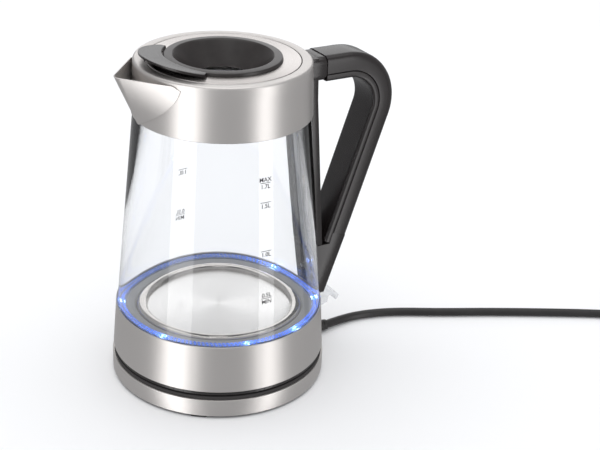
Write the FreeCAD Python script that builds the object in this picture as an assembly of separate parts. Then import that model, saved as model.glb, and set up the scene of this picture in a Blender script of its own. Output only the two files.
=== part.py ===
import FreeCAD, Part
import math
import os

# Cordless electric kettle: a glass jug on a round power base.
# Millimetres. +Z is up, the base's centre line is the Z axis and the feet stand on z = 0.
# The handle points along +X and the spout along -X.

# ---------------------------------------------------------------- driving dimensions
# Power base
BASE_R = 79.0            # outside of the steel band
BAND_WALL = 0.8
FOOT_HEIGHT = 1.2        # rubber showing under the bottom cover
COVER_LIP = 0.7          # edge of the bottom cover showing under the band
BAND_HEIGHT = 13.0
BASE_RIM_HEIGHT = 2.5    # plastic edge of the top plate above the band
BASE_RIM_INSET = 1.2
BASE_PLATE_WALL = 2.2
HUB_R = 25.0             # raised centre of the top plate
HUB_HEIGHT = 11.0
FOOT_AZIMUTHS = (-128.0, -8.0, 112.0)
FOOT_LENGTH = 11.0
FOOT_WIDTH = 12.5

# Electrical connector
CONNECTOR_R = 15.0
CONNECTOR_RISE = 11.5    # above the hub
RING_WALL = 1.0          # brass earth ring of the socket
SOCKET_DEPTH = 10.0

# Jug
JUG_GAP = 1.0            # daylight between the jug and the base
JUG_EDGE_HEIGHT = 2.8    # plastic edge of the jug's bottom cover
SKIRT_FOOT_R = 78.3
SKIRT_TOP_R = 75.9
SKIRT_HEIGHT = 35.3
STEEL_WALL = 0.8
GLASS_SHOWN = 147.3      # bare glass between the skirt and the collar
COLLAR_FOOT_R = 63.4
COLLAR_TOP_R = 62.0
COLLAR_HEIGHT = 38.2
RIM_ROUND = 2.0
GLASS_WALL = 2.6
GLASS_IN_SKIRT = 6.0
GLASS_IN_COLLAR = 8.0
GLASS_SETBACK = 1.1      # glass behind the line of the steel

# Heating plate and light ring
PLATE_R = 51.5           # flat brushed disc
BEAD_WIDTH = 7.2         # polished bead around the disc
BEAD_RISE = 3.0
PLATE_WALL = 0.8
PLATE_BELOW_SKIRT_TOP = 2.5
FLANGE_WIDTH = 5.6
SEAL_RISE = 1.6
SEAL_WALL = 1.2
LIGHT_RING_RISE = 5.4    # above the glass foot
LED_AZIMUTHS = (-62.0, -16.0, 28.0, 150.0, 205.0, 260.0)

# Lid
LID_R = 53.8
LID_WALL = 1.0
FUNNEL_MOUTH_R = 34.2
FUNNEL_RING_R = 41.4
FUNNEL_RING_RISE = 2.6
FUNNEL_FOOT_R = 21.5
FUNNEL_DEPTH = 17.0
FUNNEL_WALL = 1.8
LID_BODY_DEPTH = 10.0
TAB_HALF_ANGLE = 47.0
TAB_REACH = 61.0         # radius of the tab's tip
TAB_RISE = 9.0           # tip above the lid
TAB_WALL = 2.4

# Spout
SPOUT_REACH = 80.0
SPOUT_TIP_DROP = 2.5     # lip below the top of the rim
SPOUT_DEPTH = 36.0
SPOUT_HALF_ANGLE = 36.0
SPOUT_FOLD = 1.9          # how late the folds close towards the beak's foot
SPOUT_NOSE_R = 6.0
SPOUT_WALL = 0.8
FILTER_HALF_ANGLE = 30.0
COLLAR_BRIDGE = 10.0     # collar left whole above the way into the spout

# Handle
GRIP_WIDTH = 27.0
GRIP_DEPTH = 18.5
GRIP_CORNER = 5.5
GRIP_WALL = 2.4
GRIP_SPLIT = 13.2        # depth of the outer shell
SPLIT_GAP = 0.3
ARM_DROP = 15.5          # centre of the arm below the rim
SEAM_OUT = 15.0          # upper seam from the collar
BEND_OUT = 35.5          # centre of the bend from the collar
BEND_R = 30.0
BRACKET_WIDTH = 24.0
BRACKET_FOOT_DROP = 11.8  # below the top of the skirt
BRACKET_STEP = 0.7       # set in from the grip
LOWER_SEAM_RISE = 37.0   # above the top of the skirt
CROTCH_RISE = 29.5
SPINE_DEPTH = 7.8
SPINE_WALL = 2.0
FRAME_WIDTH = 12.0
FRAME_DEPTH = 4.0

# Switch lever
LEVER_WIDTH = 15.0
LEVER_REACH = 24.8       # tip outside the skirt
LEVER_WALL = 2.2
PIVOT_IN = 10.8          # pivot inside the skirt
PIVOT_DROP = 18.5        # pivot below the top of the skirt
PIN_R = 1.5

# Mains lead
CORD_D = 6.5
BOOT_LENGTH = 22.4
BOOT_AZIMUTH = 1.6
BOOT_ROOT_R = 5.2
BOOT_END_R = 4.2

# Clearances
FIT = 0.3                # between neighbouring moulded or pressed pieces
SLIDE = 0.1              # between pieces that push together or lie face to face
THREAD_FIT = 0.02        # around a screw's shank where it bites
SCREW_CLEARANCE = 0.2    # around a screw where it passes through
RUNNING = 0.05           # lever on its pin
LIFT_FIT = 0.6           # between pieces that lift apart
TURN_FIT = 0.5

# ---------------------------------------------------------------- levels and radii
Z_COVER = FOOT_HEIGHT
Z_BAND = Z_COVER + COVER_LIP
Z_BAND_TOP = Z_BAND + BAND_HEIGHT
Z_BASE_TOP = Z_BAND_TOP + BASE_RIM_HEIGHT
Z_HUB_TOP = Z_BASE_TOP + HUB_HEIGHT
Z_CONNECTOR = Z_HUB_TOP + CONNECTOR_RISE
Z_JUG = Z_BASE_TOP + JUG_GAP
Z_SKIRT = Z_JUG + JUG_EDGE_HEIGHT
Z_SKIRT_TOP = Z_SKIRT + SKIRT_HEIGHT
Z_COLLAR = Z_SKIRT_TOP + GLASS_SHOWN
Z_RIM = Z_COLLAR + COLLAR_HEIGHT
Z_GLASS_FOOT = Z_SKIRT_TOP - GLASS_IN_SKIRT
Z_GLASS_TOP = Z_COLLAR + GLASS_IN_COLLAR
Z_PLATE = Z_SKIRT_TOP - PLATE_BELOW_SKIRT_TOP
Z_FLANGE = Z_PLATE - 0.6
Z_RING_FOOT = Z_GLASS_FOOT - 4.0
Z_CARRIER_TOP = Z_RING_FOOT - FIT
BEAD_OUT_R = PLATE_R + BEAD_WIDTH
FLANGE_R = BEAD_OUT_R + FLANGE_WIDTH
RING_IN_R = FLANGE_R + 1.9
HUB_RECESS_R = HUB_R + LIFT_FIT + 1.4
COLLAR_MOUTH_R = LID_R + TURN_FIT
LINER_WALL = 2.0
LINER_IN_R = COLLAR_MOUTH_R + 0.2
Z_PIVOT = Z_SKIRT_TOP - PIVOT_DROP
X_PIVOT = SKIRT_TOP_R + 0.9 - PIVOT_IN
UP = FreeCAD.Vector(0, 0, 1)
ACROSS = FreeCAD.Vector(0, 1, 0)
ALONG = FreeCAD.Vector(1, 0, 0)
ORIGIN = FreeCAD.Vector(0, 0, 0)


def skirt_r(z):
    """Outside radius of the skirt at a height."""
    share = (z - Z_SKIRT) / SKIRT_HEIGHT
    return SKIRT_FOOT_R + (SKIRT_TOP_R - SKIRT_FOOT_R) * share


def steel_r(z):
    """Radius of the straight line from the skirt's top to the collar's foot."""
    share = (z - Z_SKIRT_TOP) / GLASS_SHOWN
    return SKIRT_TOP_R + (COLLAR_FOOT_R - SKIRT_TOP_R) * share


def glass_r(z):
    """Outside radius of the glass at a height."""
    return steel_r(z) - GLASS_SETBACK


def collar_r(z):
    """Outside radius of the collar at a height."""
    share = (z - Z_COLLAR) / COLLAR_HEIGHT
    return COLLAR_FOOT_R + (COLLAR_TOP_R - COLLAR_FOOT_R) * share


# ---------------------------------------------------------------- shape helpers
def in_plane(x, z):
    """A point in the plane through the spout and the handle."""
    return FreeCAD.Vector(x, 0, z)


def polar(radius, azimuth, z):
    """A point from its radius, azimuth in degrees and height."""
    angle = math.radians(azimuth)
    return FreeCAD.Vector(radius * math.cos(angle), radius * math.sin(angle), z)


def side_face(points):
    """A face in the XZ plane from (x, z) points."""
    corners = [FreeCAD.Vector(x, 0, z) for x, z in points]
    return Part.Face(Part.makePolygon(corners + corners[:1]))


def turned(points, start=0.0, angle=360.0):
    """A solid turned about the Z axis from (radius, z) points, beginning at an azimuth."""
    face = side_face(points)
    face.rotate(ORIGIN, UP, start)
    return face.revolve(ORIGIN, UP, angle)


def ring(r_in, r_out, z_low, z_high, start=0.0, angle=360.0):
    """A plain ring or a sector of one."""
    corners = [(r_in, z_low), (r_out, z_low), (r_out, z_high), (r_in, z_high)]
    return turned(corners, start, angle)


def rod(radius, start, end):
    """A round rod between two points."""
    return Part.makeCylinder(radius, (end - start).Length, start, end - start)


def block(low, high):
    """A box between two corners."""
    sides = [b - a for a, b in zip(low, high)]
    return Part.makeBox(*sides, FreeCAD.Vector(*low))


def prism(points, half_width):
    """A side outline carried across Y, the same each way from the middle."""
    face = side_face(points)
    face.translate(FreeCAD.Vector(0, -half_width, 0))
    return face.extrude(FreeCAD.Vector(0, 2 * half_width, 0))


def spun(solid, azimuth):
    """A copy turned about the Z axis."""
    copy = solid.copy()
    copy.rotate(ORIGIN, UP, azimuth)
    return copy


def joined(solids):
    """One solid from several that meet."""
    whole = solids[0].fuse(solids[1:])
    return whole.removeSplitter()


def route(points, share=0.45):
    """A wire of straight runs and tangent arcs through a list of points, and its arcs' radii."""
    edges, radii = [], []
    last = points[0]
    for before, corner, after in zip(points, points[1:], points[2:]):
        back, ahead = before - corner, after - corner
        cut = share * min(back.Length, ahead.Length)
        back.normalize()
        ahead.normalize()
        turn = math.pi - back.getAngle(ahead)
        radius = cut / math.tan(turn / 2)
        start, end = corner + back * cut, corner + ahead * cut
        inward = back + ahead
        inward.normalize()
        centre = corner + inward * (radius / math.cos(turn / 2))
        middle = centre - inward * radius
        edges.append(Part.LineSegment(last, start).toShape())
        edges.append(Part.Arc(start, middle, end).toShape())
        radii.append(radius)
        last = end
    edges.append(Part.LineSegment(last, points[-1]).toShape())
    return Part.Wire(edges), radii


def tube(points, radius):
    """A round bar along a route of points."""
    wire, radii = route(points)
    ahead = points[1] - points[0]
    section = Part.Wire([Part.makeCircle(radius, points[0], ahead)])
    return wire.makePipeShell([section], True, False), wire.Length, radii


def screw(tip, direction, length, shank_r, head_r, head_height):
    """A headed screw whose head sits at the far end from its tip."""
    under_head = tip + direction * length
    top = under_head + direction * head_height
    head = rod(head_r, under_head, top)
    driver = block((-head_r / 2, -0.4, 0), (head_r / 2, 0.4, head_height / 2))
    driver.Placement = FreeCAD.Placement(
        top - direction * (head_height / 2), FreeCAD.Rotation(UP, direction))
    return joined([rod(shank_r, tip, under_head), head]).cut(driver)


# ---------------------------------------------------------------- power base
BASE_SCREW_R = 46.0
BASE_SCREW_AZIMUTHS = (60.0, 180.0, 300.0)
SCREW_SHANK_R = 1.3
SCREW_HEAD_R = 2.9
COUNTERBORE = 1.0
BOSS_R = 3.8
Z_FLOOR_TOP = Z_COVER + 2.0      # inside face of the bottom cover
INNER_BAND_R = BASE_R - BAND_WALL
Z_BOOT_ROOT = 6.2
BOOT_ROOT_REACH = BASE_R - 3.0


def boot_line():
    """Both ends of the cord boot's centre line; it drops a little towards the table."""
    drop = math.radians(4.0)
    root = polar(BOOT_ROOT_REACH, BOOT_AZIMUTH, Z_BOOT_ROOT)
    reach = BOOT_ROOT_REACH + BOOT_LENGTH * math.cos(drop)
    end = polar(reach, BOOT_AZIMUTH, Z_BOOT_ROOT - BOOT_LENGTH * math.sin(drop))
    return root, end


def boot_passage():
    """The hole that the boot's root passes through."""
    inside = polar(BOOT_ROOT_REACH - 1.5, BOOT_AZIMUTH, Z_BOOT_ROOT)
    outside = polar(BASE_R + 3, BOOT_AZIMUTH, Z_BOOT_ROOT)
    return rod(BOOT_ROOT_R + FIT / 2, inside, outside)


def foot(azimuth, grown=0.0):
    """One rubber pad near the rim, or the pocket that it is glued into."""
    r_out = BASE_R - 0.9 + grown
    half = FOOT_WIDTH / 2 + grown
    pad = block((r_out - FOOT_LENGTH - 2 * grown, -half, 0), (r_out + 2, half, Z_COVER + 1.0))
    pad = pad.common(ring(0.1, r_out, -1, Z_COVER + 2))
    return spun(pad, azimuth)


def base_bottom_cover():
    plate = turned([
        (0, Z_COVER), (INNER_BAND_R - 0.2, Z_COVER), (BASE_R - 0.5, Z_BAND - SLIDE),
        (INNER_BAND_R - FIT, Z_BAND), (INNER_BAND_R - FIT, Z_FLOOR_TOP + 3),
        (INNER_BAND_R - FIT - 1.6, Z_FLOOR_TOP + 3), (INNER_BAND_R - FIT - 1.6, Z_FLOOR_TOP),
        (0, Z_FLOOR_TOP)])
    cuts = [foot(azimuth, SLIDE) for azimuth in FOOT_AZIMUTHS]
    cuts.append(boot_passage())
    for azimuth in BASE_SCREW_AZIMUTHS:
        low, high = polar(BASE_SCREW_R, azimuth, 0), polar(BASE_SCREW_R, azimuth, Z_FLOOR_TOP + 1)
        cuts.append(rod(SCREW_SHANK_R + 0.2, low, high))
        cuts.append(rod(SCREW_HEAD_R + 0.2, low, low + UP * (Z_COVER + COUNTERBORE)))
    for azimuth in range(0, 360, 30):
        cuts.append(spun(block((30, -1, 0), (38, 1, Z_FLOOR_TOP + 1)), azimuth + 15))
    return plate.cut(cuts)


def base_band():
    turn_in = 1.2
    band = turned([
        (INNER_BAND_R - turn_in, Z_BAND_TOP - BAND_WALL), (INNER_BAND_R, Z_BAND_TOP - BAND_WALL),
        (INNER_BAND_R, Z_BAND), (BASE_R - 0.25, Z_BAND), (BASE_R, Z_BAND + 0.3),
        (BASE_R, Z_BAND_TOP - 0.5), (BASE_R - 0.5, Z_BAND_TOP), (INNER_BAND_R - turn_in, Z_BAND_TOP)])
    return band.cut(boot_passage())


def base_top_plate():
    rim_r = BASE_R - BASE_RIM_INSET
    under = Z_BASE_TOP - BASE_PLATE_WALL
    wall_r = INNER_BAND_R - 1.2 - FIT
    hole_r = CONNECTOR_R + FIT
    plate = turned([
        (hole_r, Z_HUB_TOP - BASE_PLATE_WALL), (HUB_R - BASE_PLATE_WALL, Z_HUB_TOP - BASE_PLATE_WALL),
        (HUB_R - BASE_PLATE_WALL, under), (wall_r - 1.8, under), (wall_r - 1.8, Z_FLOOR_TOP + 4),
        (wall_r, Z_FLOOR_TOP + 4), (wall_r, Z_BAND_TOP + SLIDE), (rim_r, Z_BAND_TOP + SLIDE),
        (rim_r, Z_BASE_TOP - 0.8), (rim_r - 0.8, Z_BASE_TOP), (HUB_R, Z_BASE_TOP),
        (HUB_R, Z_HUB_TOP - 1.5), (HUB_R - 1.5, Z_HUB_TOP), (hole_r, Z_HUB_TOP)])
    bosses, holes = [], [boot_passage()]
    for azimuth in BASE_SCREW_AZIMUTHS:
        low = polar(BASE_SCREW_R, azimuth, Z_FLOOR_TOP)
        high = polar(BASE_SCREW_R, azimuth, Z_BASE_TOP - 1)
        bosses.append(rod(BOSS_R, low, high))
        holes.append(rod(SCREW_SHANK_R + THREAD_FIT, low, high - UP))
    return joined([plate] + bosses).cut(holes)


def base_connector():
    flange_r = HUB_R - BASE_PLATE_WALL - FIT
    z_flange = Z_HUB_TOP - BASE_PLATE_WALL - FIT
    body = turned([
        (0, Z_FLOOR_TOP + 5), (flange_r - 6, Z_FLOOR_TOP + 5), (flange_r - 6, z_flange - 2.5),
        (flange_r, z_flange - 2.5), (flange_r, z_flange), (CONNECTOR_R, z_flange),
        (CONNECTOR_R, Z_CONNECTOR - 1.5), (CONNECTOR_R - 1.5, Z_CONNECTOR), (0, Z_CONNECTOR)])
    pin_well = ring(0, 3.4, Z_HUB_TOP - 8, Z_CONNECTOR + 1)
    sleeve_well = ring(7.4, 10.2, Z_HUB_TOP - 6, Z_CONNECTOR + 1)
    return body.cut([pin_well, sleeve_well])


def base_contacts():
    pin = rod(1.6, FreeCAD.Vector(0, 0, Z_HUB_TOP - 8), FreeCAD.Vector(0, 0, Z_CONNECTOR - 2.5))
    sleeve = ring(7.4, 8.2, Z_HUB_TOP - 6, Z_CONNECTOR - 2.0)
    return [pin, sleeve]


def base_screws():
    return [
        screw(polar(BASE_SCREW_R, azimuth, Z_COVER + COUNTERBORE + 8.5), -UP, 8.5,
              SCREW_SHANK_R, SCREW_HEAD_R, COUNTERBORE - 0.1)
        for azimuth in BASE_SCREW_AZIMUTHS]


def cord_boot():
    root, end = boot_line()
    axis = end - root
    cone = Part.makeCone(BOOT_ROOT_R, BOOT_END_R, axis.Length, root, axis)
    bore = rod(CORD_D / 2 + 0.05, root - axis * 0.2, root + axis * 0.8)
    grooves = []
    for step in (0.34, 0.5, 0.66, 0.82):
        middle = root + axis * step
        radius = BOOT_ROOT_R + (BOOT_END_R - BOOT_ROOT_R) * step
        across = axis * (0.9 / axis.Length)
        groove = rod(radius + 1, middle, middle + across)
        grooves.append(groove.cut(rod(radius - 0.45, middle, middle + across)))
    return cone.cut(grooves + [bore])


def cord_clamp():
    foot_bar = block((62, -9, Z_FLOOR_TOP), (69, 9, Z_FLOOR_TOP + 3.4))
    return spun(foot_bar, BOOT_AZIMUTH)


def base_wires():
    wires = []
    for turn in (-7.6, 0.0, 7.4):
        start = polar(61.5, BOOT_AZIMUTH + turn / 6, Z_FLOOR_TOP + 1.8)
        knee = polar(40, BOOT_AZIMUTH + turn, Z_FLOOR_TOP + 3.4)
        end = polar(17.2, BOOT_AZIMUTH + turn * 2, Z_FLOOR_TOP + 6.6)
        wires.append(tube([start, knee, end], 1.1)[0])
    return wires


# ---------------------------------------------------------------- mains lead, past the boot
COIL_CENTRE = FreeCAD.Vector(391.5, -87.9, 0)
COIL_R = (26.2, 39.4)            # inside and outside of the coil's two turns
TIE_WALL = 0.6
COIL_TOP = TIE_WALL + CORD_D + 0.3
LEAD_Z = CORD_D / 2
LEAD_POINTS = [
    (116.0, 6.6, 3.5), (137.0, 5.4, LEAD_Z), (162.0, -2.6, LEAD_Z), (194.0, -20.0, LEAD_Z),
    (229.0, -36.8, LEAD_Z), (266.0, -56.1, LEAD_Z), (308.0, -79.1, LEAD_Z), (344.0, -102.1, LEAD_Z),
    (372.0, -118.0, LEAD_Z + TIE_WALL)]
TAIL_POINTS = [
    (388.9, -117.8, 10.8), (403.6, -117.0, 11.6), (417.8, -111.0, 11.8), (430.4, -99.2, 11.3),
    (441.0, -83.2, 10.4)]
PLUG_HEADING = 58.0
PLUG_SIZE = (50.0, 47.0, 21.0)   # length, width, thickness
SLEEVE_LENGTH = 16.0
SLEEVE_WALL = 0.9
SLEEVE_FLARE = 2.3


def lead_route():
    return [boot_line()[1]] + [FreeCAD.Vector(*point) for point in LEAD_POINTS]


def tail_route():
    return [FreeCAD.Vector(*point) for point in TAIL_POINTS]


def cord_lead():
    solid, length, radii = tube(lead_route(), CORD_D / 2)
    report_cord("cord_lead", solid, length, radii)
    return solid


def cord_tail():
    solid, length, radii = tube(tail_route(), CORD_D / 2)
    report_cord("cord_tail", solid, length, radii)
    return solid


def report_cord(name, solid, length, radii):
    expected = math.pi * (CORD_D / 2) ** 2 * length
    print(name, "length %.1f" % length, "volume over section x length %.4f" % (solid.Volume / expected))
    print("  radii", " ".join("%.0f" % radius for radius in radii))


def cord_coil():
    """The outer shape of the neat coil, two turns side by side."""
    inner, outer = COIL_R
    corner = CORD_D / 2 * 0.6
    coil = turned([
        (inner, TIE_WALL + corner), (inner + corner, TIE_WALL), (outer - corner, TIE_WALL),
        (outer, TIE_WALL + corner), (outer, COIL_TOP - corner), (outer - corner, COIL_TOP),
        (inner + corner, COIL_TOP), (inner, COIL_TOP - corner)])
    coil.translate(COIL_CENTRE)
    return coil


def cord_tie():
    """A flat strap around both turns of the coil."""
    inner, outer = COIL_R
    strap = block((inner - TIE_WALL, -4, 0), (outer + TIE_WALL, 4, COIL_TOP + TIE_WALL))
    opening = block((inner - 0.01, -5, TIE_WALL), (outer + 0.01, 5, COIL_TOP + 0.01))
    tie = spun(strap.cut(opening), 60)
    tie.translate(COIL_CENTRE)
    return tie


def plug_place(solid):
    """Moves a piece modelled along +X from the cord's end to where the plug lies."""
    end = tail_route()[-1]
    placed = solid.copy()
    placed.rotate(ORIGIN, UP, PLUG_HEADING)
    placed.translate(FreeCAD.Vector(end.x, end.y, 0))
    return placed


def plug_body():
    length, width, thickness = PLUG_SIZE
    z_cord = TAIL_POINTS[-1][2]
    shell = block((SLEEVE_LENGTH, -width / 2, 0), (SLEEVE_LENGTH + length, width / 2, thickness))
    upright = [edge for edge in shell.Edges if abs(edge.tangentAt(0).z) > 0.9]
    shell = shell.makeFillet(9.0, upright)
    level = [edge for edge in shell.Edges if abs(edge.CenterOfMass.z - thickness) < 0.01]
    shell = shell.makeFillet(2.0, level)
    start = FreeCAD.Vector(0, 0, z_cord)
    sleeve = Part.makeCone(
        CORD_D / 2 + SLEEVE_WALL, CORD_D / 2 + SLEEVE_WALL + SLEEVE_FLARE, SLEEVE_LENGTH + 2, start, ALONG)
    return plug_place(joined([shell, sleeve]))


def plug_pins():
    """Earth pin and two line pins standing up out of the plug's face."""
    thickness = PLUG_SIZE[2]
    middle = SLEEVE_LENGTH + PLUG_SIZE[0] * 0.4
    earth = block((middle + 18.4, -2, thickness), (middle + 26.4, 2, thickness + 22.7))
    line = block((middle - 2, 8, thickness), (middle + 2, 14.3, thickness + 17.7))
    neutral = block((middle - 2, -14.3, thickness), (middle + 2, -8, thickness + 17.7))
    return [plug_place(pin) for pin in (earth, line, neutral)]


# ---------------------------------------------------------------- jug: foot and heater
Z_CEILING = Z_HUB_TOP + 1.0      # under face of the recess over the hub
CONTROL_R = 27.0
SOCKET_R = CONNECTOR_R + LIFT_FIT
SOCKET_BORE_R = SOCKET_R + RING_WALL + FIT
Z_SOCKET_TOP = Z_CONNECTOR + 1.0
Z_CONTROL_TOP = Z_SOCKET_TOP + 3.5
CARRIER_SCREW_R = 66.0
CARRIER_SCREW_AZIMUTHS = (45.0, 135.0, 225.0, 315.0)
WINDOW_HALF = LEVER_WIDTH / 2 + 1.1
WINDOW_LOW = Z_PIVOT - 6.5
WINDOW_HIGH = Z_SKIRT_TOP - BRACKET_FOOT_DROP - 0.1
SWITCH_HALF = 12.0


def lever_window():
    """The way through the skirt for the switch lever."""
    return block((SKIRT_TOP_R - 8, -WINDOW_HALF, WINDOW_LOW), (SKIRT_FOOT_R + 5, WINDOW_HALF, WINDOW_HIGH))


def jug_bottom_cover():
    edge_r = SKIRT_FOOT_R - 0.9
    wall = 2.2
    recess_out = HUB_RECESS_R + wall
    cover = turned([
        (SOCKET_BORE_R + 2, Z_CEILING), (HUB_RECESS_R, Z_CEILING), (HUB_RECESS_R, Z_JUG),
        (edge_r - 0.6, Z_JUG), (edge_r, Z_JUG + 0.6), (edge_r, Z_SKIRT - SLIDE),
        (edge_r - 3.2, Z_SKIRT - SLIDE), (edge_r - 3.2, Z_JUG + wall), (recess_out, Z_JUG + wall),
        (recess_out, Z_CEILING + wall), (SOCKET_BORE_R + 2, Z_CEILING + wall)])
    holes = []
    for azimuth in CARRIER_SCREW_AZIMUTHS:
        below = polar(CARRIER_SCREW_R, azimuth, Z_JUG - 1)
        holes.append(rod(SCREW_SHANK_R + SCREW_CLEARANCE, below, polar(CARRIER_SCREW_R, azimuth, Z_SKIRT + 3)))
        counterbore = polar(CARRIER_SCREW_R, azimuth, Z_JUG + COUNTERBORE)
        holes.append(rod(SCREW_HEAD_R + SCREW_CLEARANCE, below, counterbore))
    return cover.cut(holes)


def skirt():
    wall = STEEL_WALL
    shell = turned([
        (SKIRT_FOOT_R - wall, Z_SKIRT), (SKIRT_FOOT_R - 0.2, Z_SKIRT), (SKIRT_FOOT_R, Z_SKIRT + 0.3),
        (SKIRT_TOP_R, Z_SKIRT_TOP - 0.3), (SKIRT_TOP_R - 0.3, Z_SKIRT_TOP),
        (SKIRT_TOP_R - wall, Z_SKIRT_TOP)])
    return shell.cut(lever_window())


def switch_bay(grown=0.0):
    """Space inside the skirt, under the handle, for the steam switch and its lever."""
    return block((SKIRT_TOP_R - 26 - grown, -SWITCH_HALF - grown, Z_SKIRT - 1),
                 (SKIRT_FOOT_R + 5, SWITCH_HALF + grown, WINDOW_HIGH + 3))


def carrier():
    """Moulded ring that carries the glass, the light ring and the plate, screwed to the bottom cover."""
    wall_r = skirt_r(Z_CARRIER_TOP) - STEEL_WALL - FIT
    flange_r = glass_r(Z_GLASS_FOOT)
    body = turned([
        (FLANGE_R - 8, Z_CARRIER_TOP - CARRIER_DECK), (wall_r - 2.2, Z_CARRIER_TOP - CARRIER_DECK),
        (wall_r - 2.2, Z_SKIRT + 1.4), (wall_r, Z_SKIRT + 1.4), (wall_r, Z_CARRIER_TOP), (flange_r, Z_CARRIER_TOP),
        (FLANGE_R + 1, Z_CARRIER_TOP), (FLANGE_R + 1, Z_FLANGE - PLATE_WALL - SLIDE),
        (FLANGE_R - 8, Z_FLANGE - PLATE_WALL - SLIDE)])
    bosses, holes = [], [switch_bay(FIT)]
    for azimuth in CARRIER_SCREW_AZIMUTHS:
        low = polar(CARRIER_SCREW_R, azimuth, Z_JUG + 2.2 + SLIDE)
        high = polar(CARRIER_SCREW_R, azimuth, Z_CARRIER_TOP - 1)
        bosses.append(rod(BOSS_R, low, high))
        holes.append(rod(SCREW_SHANK_R + THREAD_FIT, low, low + UP * 12))
    for azimuth in LED_AZIMUTHS:
        holes.append(led_block(LED_HALF + 0.7, Z_CARRIER_TOP - 4, Z_CARRIER_TOP + 1, azimuth))
    return joined([body] + bosses).cut(holes)


def carrier_screws():
    length = 12.0
    return [
        screw(polar(CARRIER_SCREW_R, azimuth, Z_JUG + COUNTERBORE + length), -UP, length,
              SCREW_SHANK_R, SCREW_HEAD_R, COUNTERBORE - 0.1)
        for azimuth in CARRIER_SCREW_AZIMUTHS]


def control_unit():
    """Integrated control under the plate, with the round socket in its lower face."""
    body = turned([
        (0, Z_CEILING + 2.3), (CONTROL_R, Z_CEILING + 2.3), (CONTROL_R, Z_CONTROL_TOP - 1.5),
        (CONTROL_R - 1.5, Z_CONTROL_TOP), (0, Z_CONTROL_TOP)])
    collar = ring(SOCKET_BORE_R, SOCKET_BORE_R + 1.8, Z_CEILING + 0.2, Z_CEILING + 3)
    bore = ring(0, SOCKET_BORE_R, Z_CEILING - 1, Z_SOCKET_TOP)
    return joined([body, collar]).cut(bore)


def socket_ring():
    """Brass earth ring that lines the socket; it is the same all round."""
    return ring(SOCKET_R, SOCKET_R + RING_WALL, Z_SOCKET_TOP - SOCKET_DEPTH, Z_SOCKET_TOP - FIT)


def socket_contacts():
    """Live spring tube and neutral blade ring hanging from the control's ceiling."""
    live = ring(2.0, 2.7, Z_SOCKET_TOP - 7, Z_SOCKET_TOP)
    neutral = ring(8.8, 9.5, Z_SOCKET_TOP - 6, Z_SOCKET_TOP)
    return [live, neutral]


def half_ellipse(half, rise, degrees):
    """Points of an ellipse's upper half, at the given angles."""
    return [(half * math.cos(math.radians(a)), rise * math.sin(math.radians(a))) for a in degrees]


def heating_plate():
    """Spun steel plate with a raised bead around it and a flange that the seal grips."""
    crest = (PLATE_R + BEAD_OUT_R) / 2
    z, t, rise = Z_PLATE, PLATE_WALL, BEAD_RISE
    half = BEAD_WIDTH / 2
    top = half_ellipse(half, rise, range(165, 0, -15))
    inner = half_ellipse(half - t, rise - t, range(0, 181, 15))
    upper = [(0, z), (PLATE_R, z)] + [(crest + x, z + y) for x, y in top]
    upper += [(BEAD_OUT_R, Z_FLANGE), (FLANGE_R, Z_FLANGE)]
    lower = [(FLANGE_R, Z_FLANGE - t), (BEAD_OUT_R - t, Z_FLANGE - t)]
    lower += [(crest + x, z - t + y) for x, y in inner[1:-1]] + [(PLATE_R + t / 2, z - t), (0, z - t)]
    return turned(upper + lower)


def heat_spreader():
    z_top = Z_PLATE - PLATE_WALL - SLIDE
    return ring(0, PLATE_R - 5, z_top - 2.4, z_top)


Z_ELEMENT = Z_PLATE - PLATE_WALL - SLIDE - 2.4 - 3.1
ELEMENT_R = 38.0


def heating_element():
    """Sheathed element, an open circle under the spreader with its two cold tails turned down."""
    circle = Part.Face(Part.Wire([Part.makeCircle(3.0, FreeCAD.Vector(ELEMENT_R, 0, Z_ELEMENT), ACROSS)]))
    circle.rotate(ORIGIN, UP, 30)
    loop = circle.revolve(ORIGIN, UP, 300)
    tails = [
        rod(2.0, polar(ELEMENT_R, azimuth, Z_ELEMENT), polar(ELEMENT_R, azimuth, Z_ELEMENT - 9))
        for azimuth in (32.5, 327.5)]
    return joined([loop] + tails)


def plate_seal():
    """Silicone ring that closes the gap between the plate's flange and the light ring."""
    low, high = Z_FLANGE + SLIDE, Z_FLANGE + SEAL_RISE
    return turned([
        (BEAD_OUT_R + 0.4, low), (RING_IN_R - 0.1, low), (RING_IN_R - 0.1, high),
        (RING_IN_R - 1.0, high + 0.4), (BEAD_OUT_R + 1.4, high - 0.2)])


LED_R = RING_IN_R + 3.2
LED_HALF = 1.5
CARRIER_DECK = 2.4               # thickness of the carrier's ring under the light ring


def led_block(half, low, high, azimuth):
    """A square block where one LED sits, for the LED itself or the room around it."""
    return spun(block((LED_R - half, -half, low), (LED_R + half, half, high)), azimuth)


def light_ring():
    """Clear ring under and inside the glass's foot; it spreads the light of the LEDs."""
    foot_r = glass_r(Z_GLASS_FOOT)
    inner_wall_r = glass_r(Z_GLASS_FOOT + LIGHT_RING_RISE) - GLASS_WALL - FIT
    ring_solid = turned([
        (RING_IN_R, Z_RING_FOOT), (foot_r, Z_RING_FOOT), (foot_r, Z_GLASS_FOOT - SLIDE),
        (inner_wall_r, Z_GLASS_FOOT - SLIDE), (inner_wall_r, Z_GLASS_FOOT + LIGHT_RING_RISE - 0.8),
        (inner_wall_r - 0.8, Z_GLASS_FOOT + LIGHT_RING_RISE),
        (RING_IN_R + 0.8, Z_GLASS_FOOT + LIGHT_RING_RISE), (RING_IN_R, Z_GLASS_FOOT + LIGHT_RING_RISE - 0.8)])
    pockets = [
        led_block(LED_HALF + 0.4, Z_RING_FOOT - 1, Z_RING_FOOT + 2.6, azimuth) for azimuth in LED_AZIMUTHS]
    return ring_solid.cut(pockets)


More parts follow.
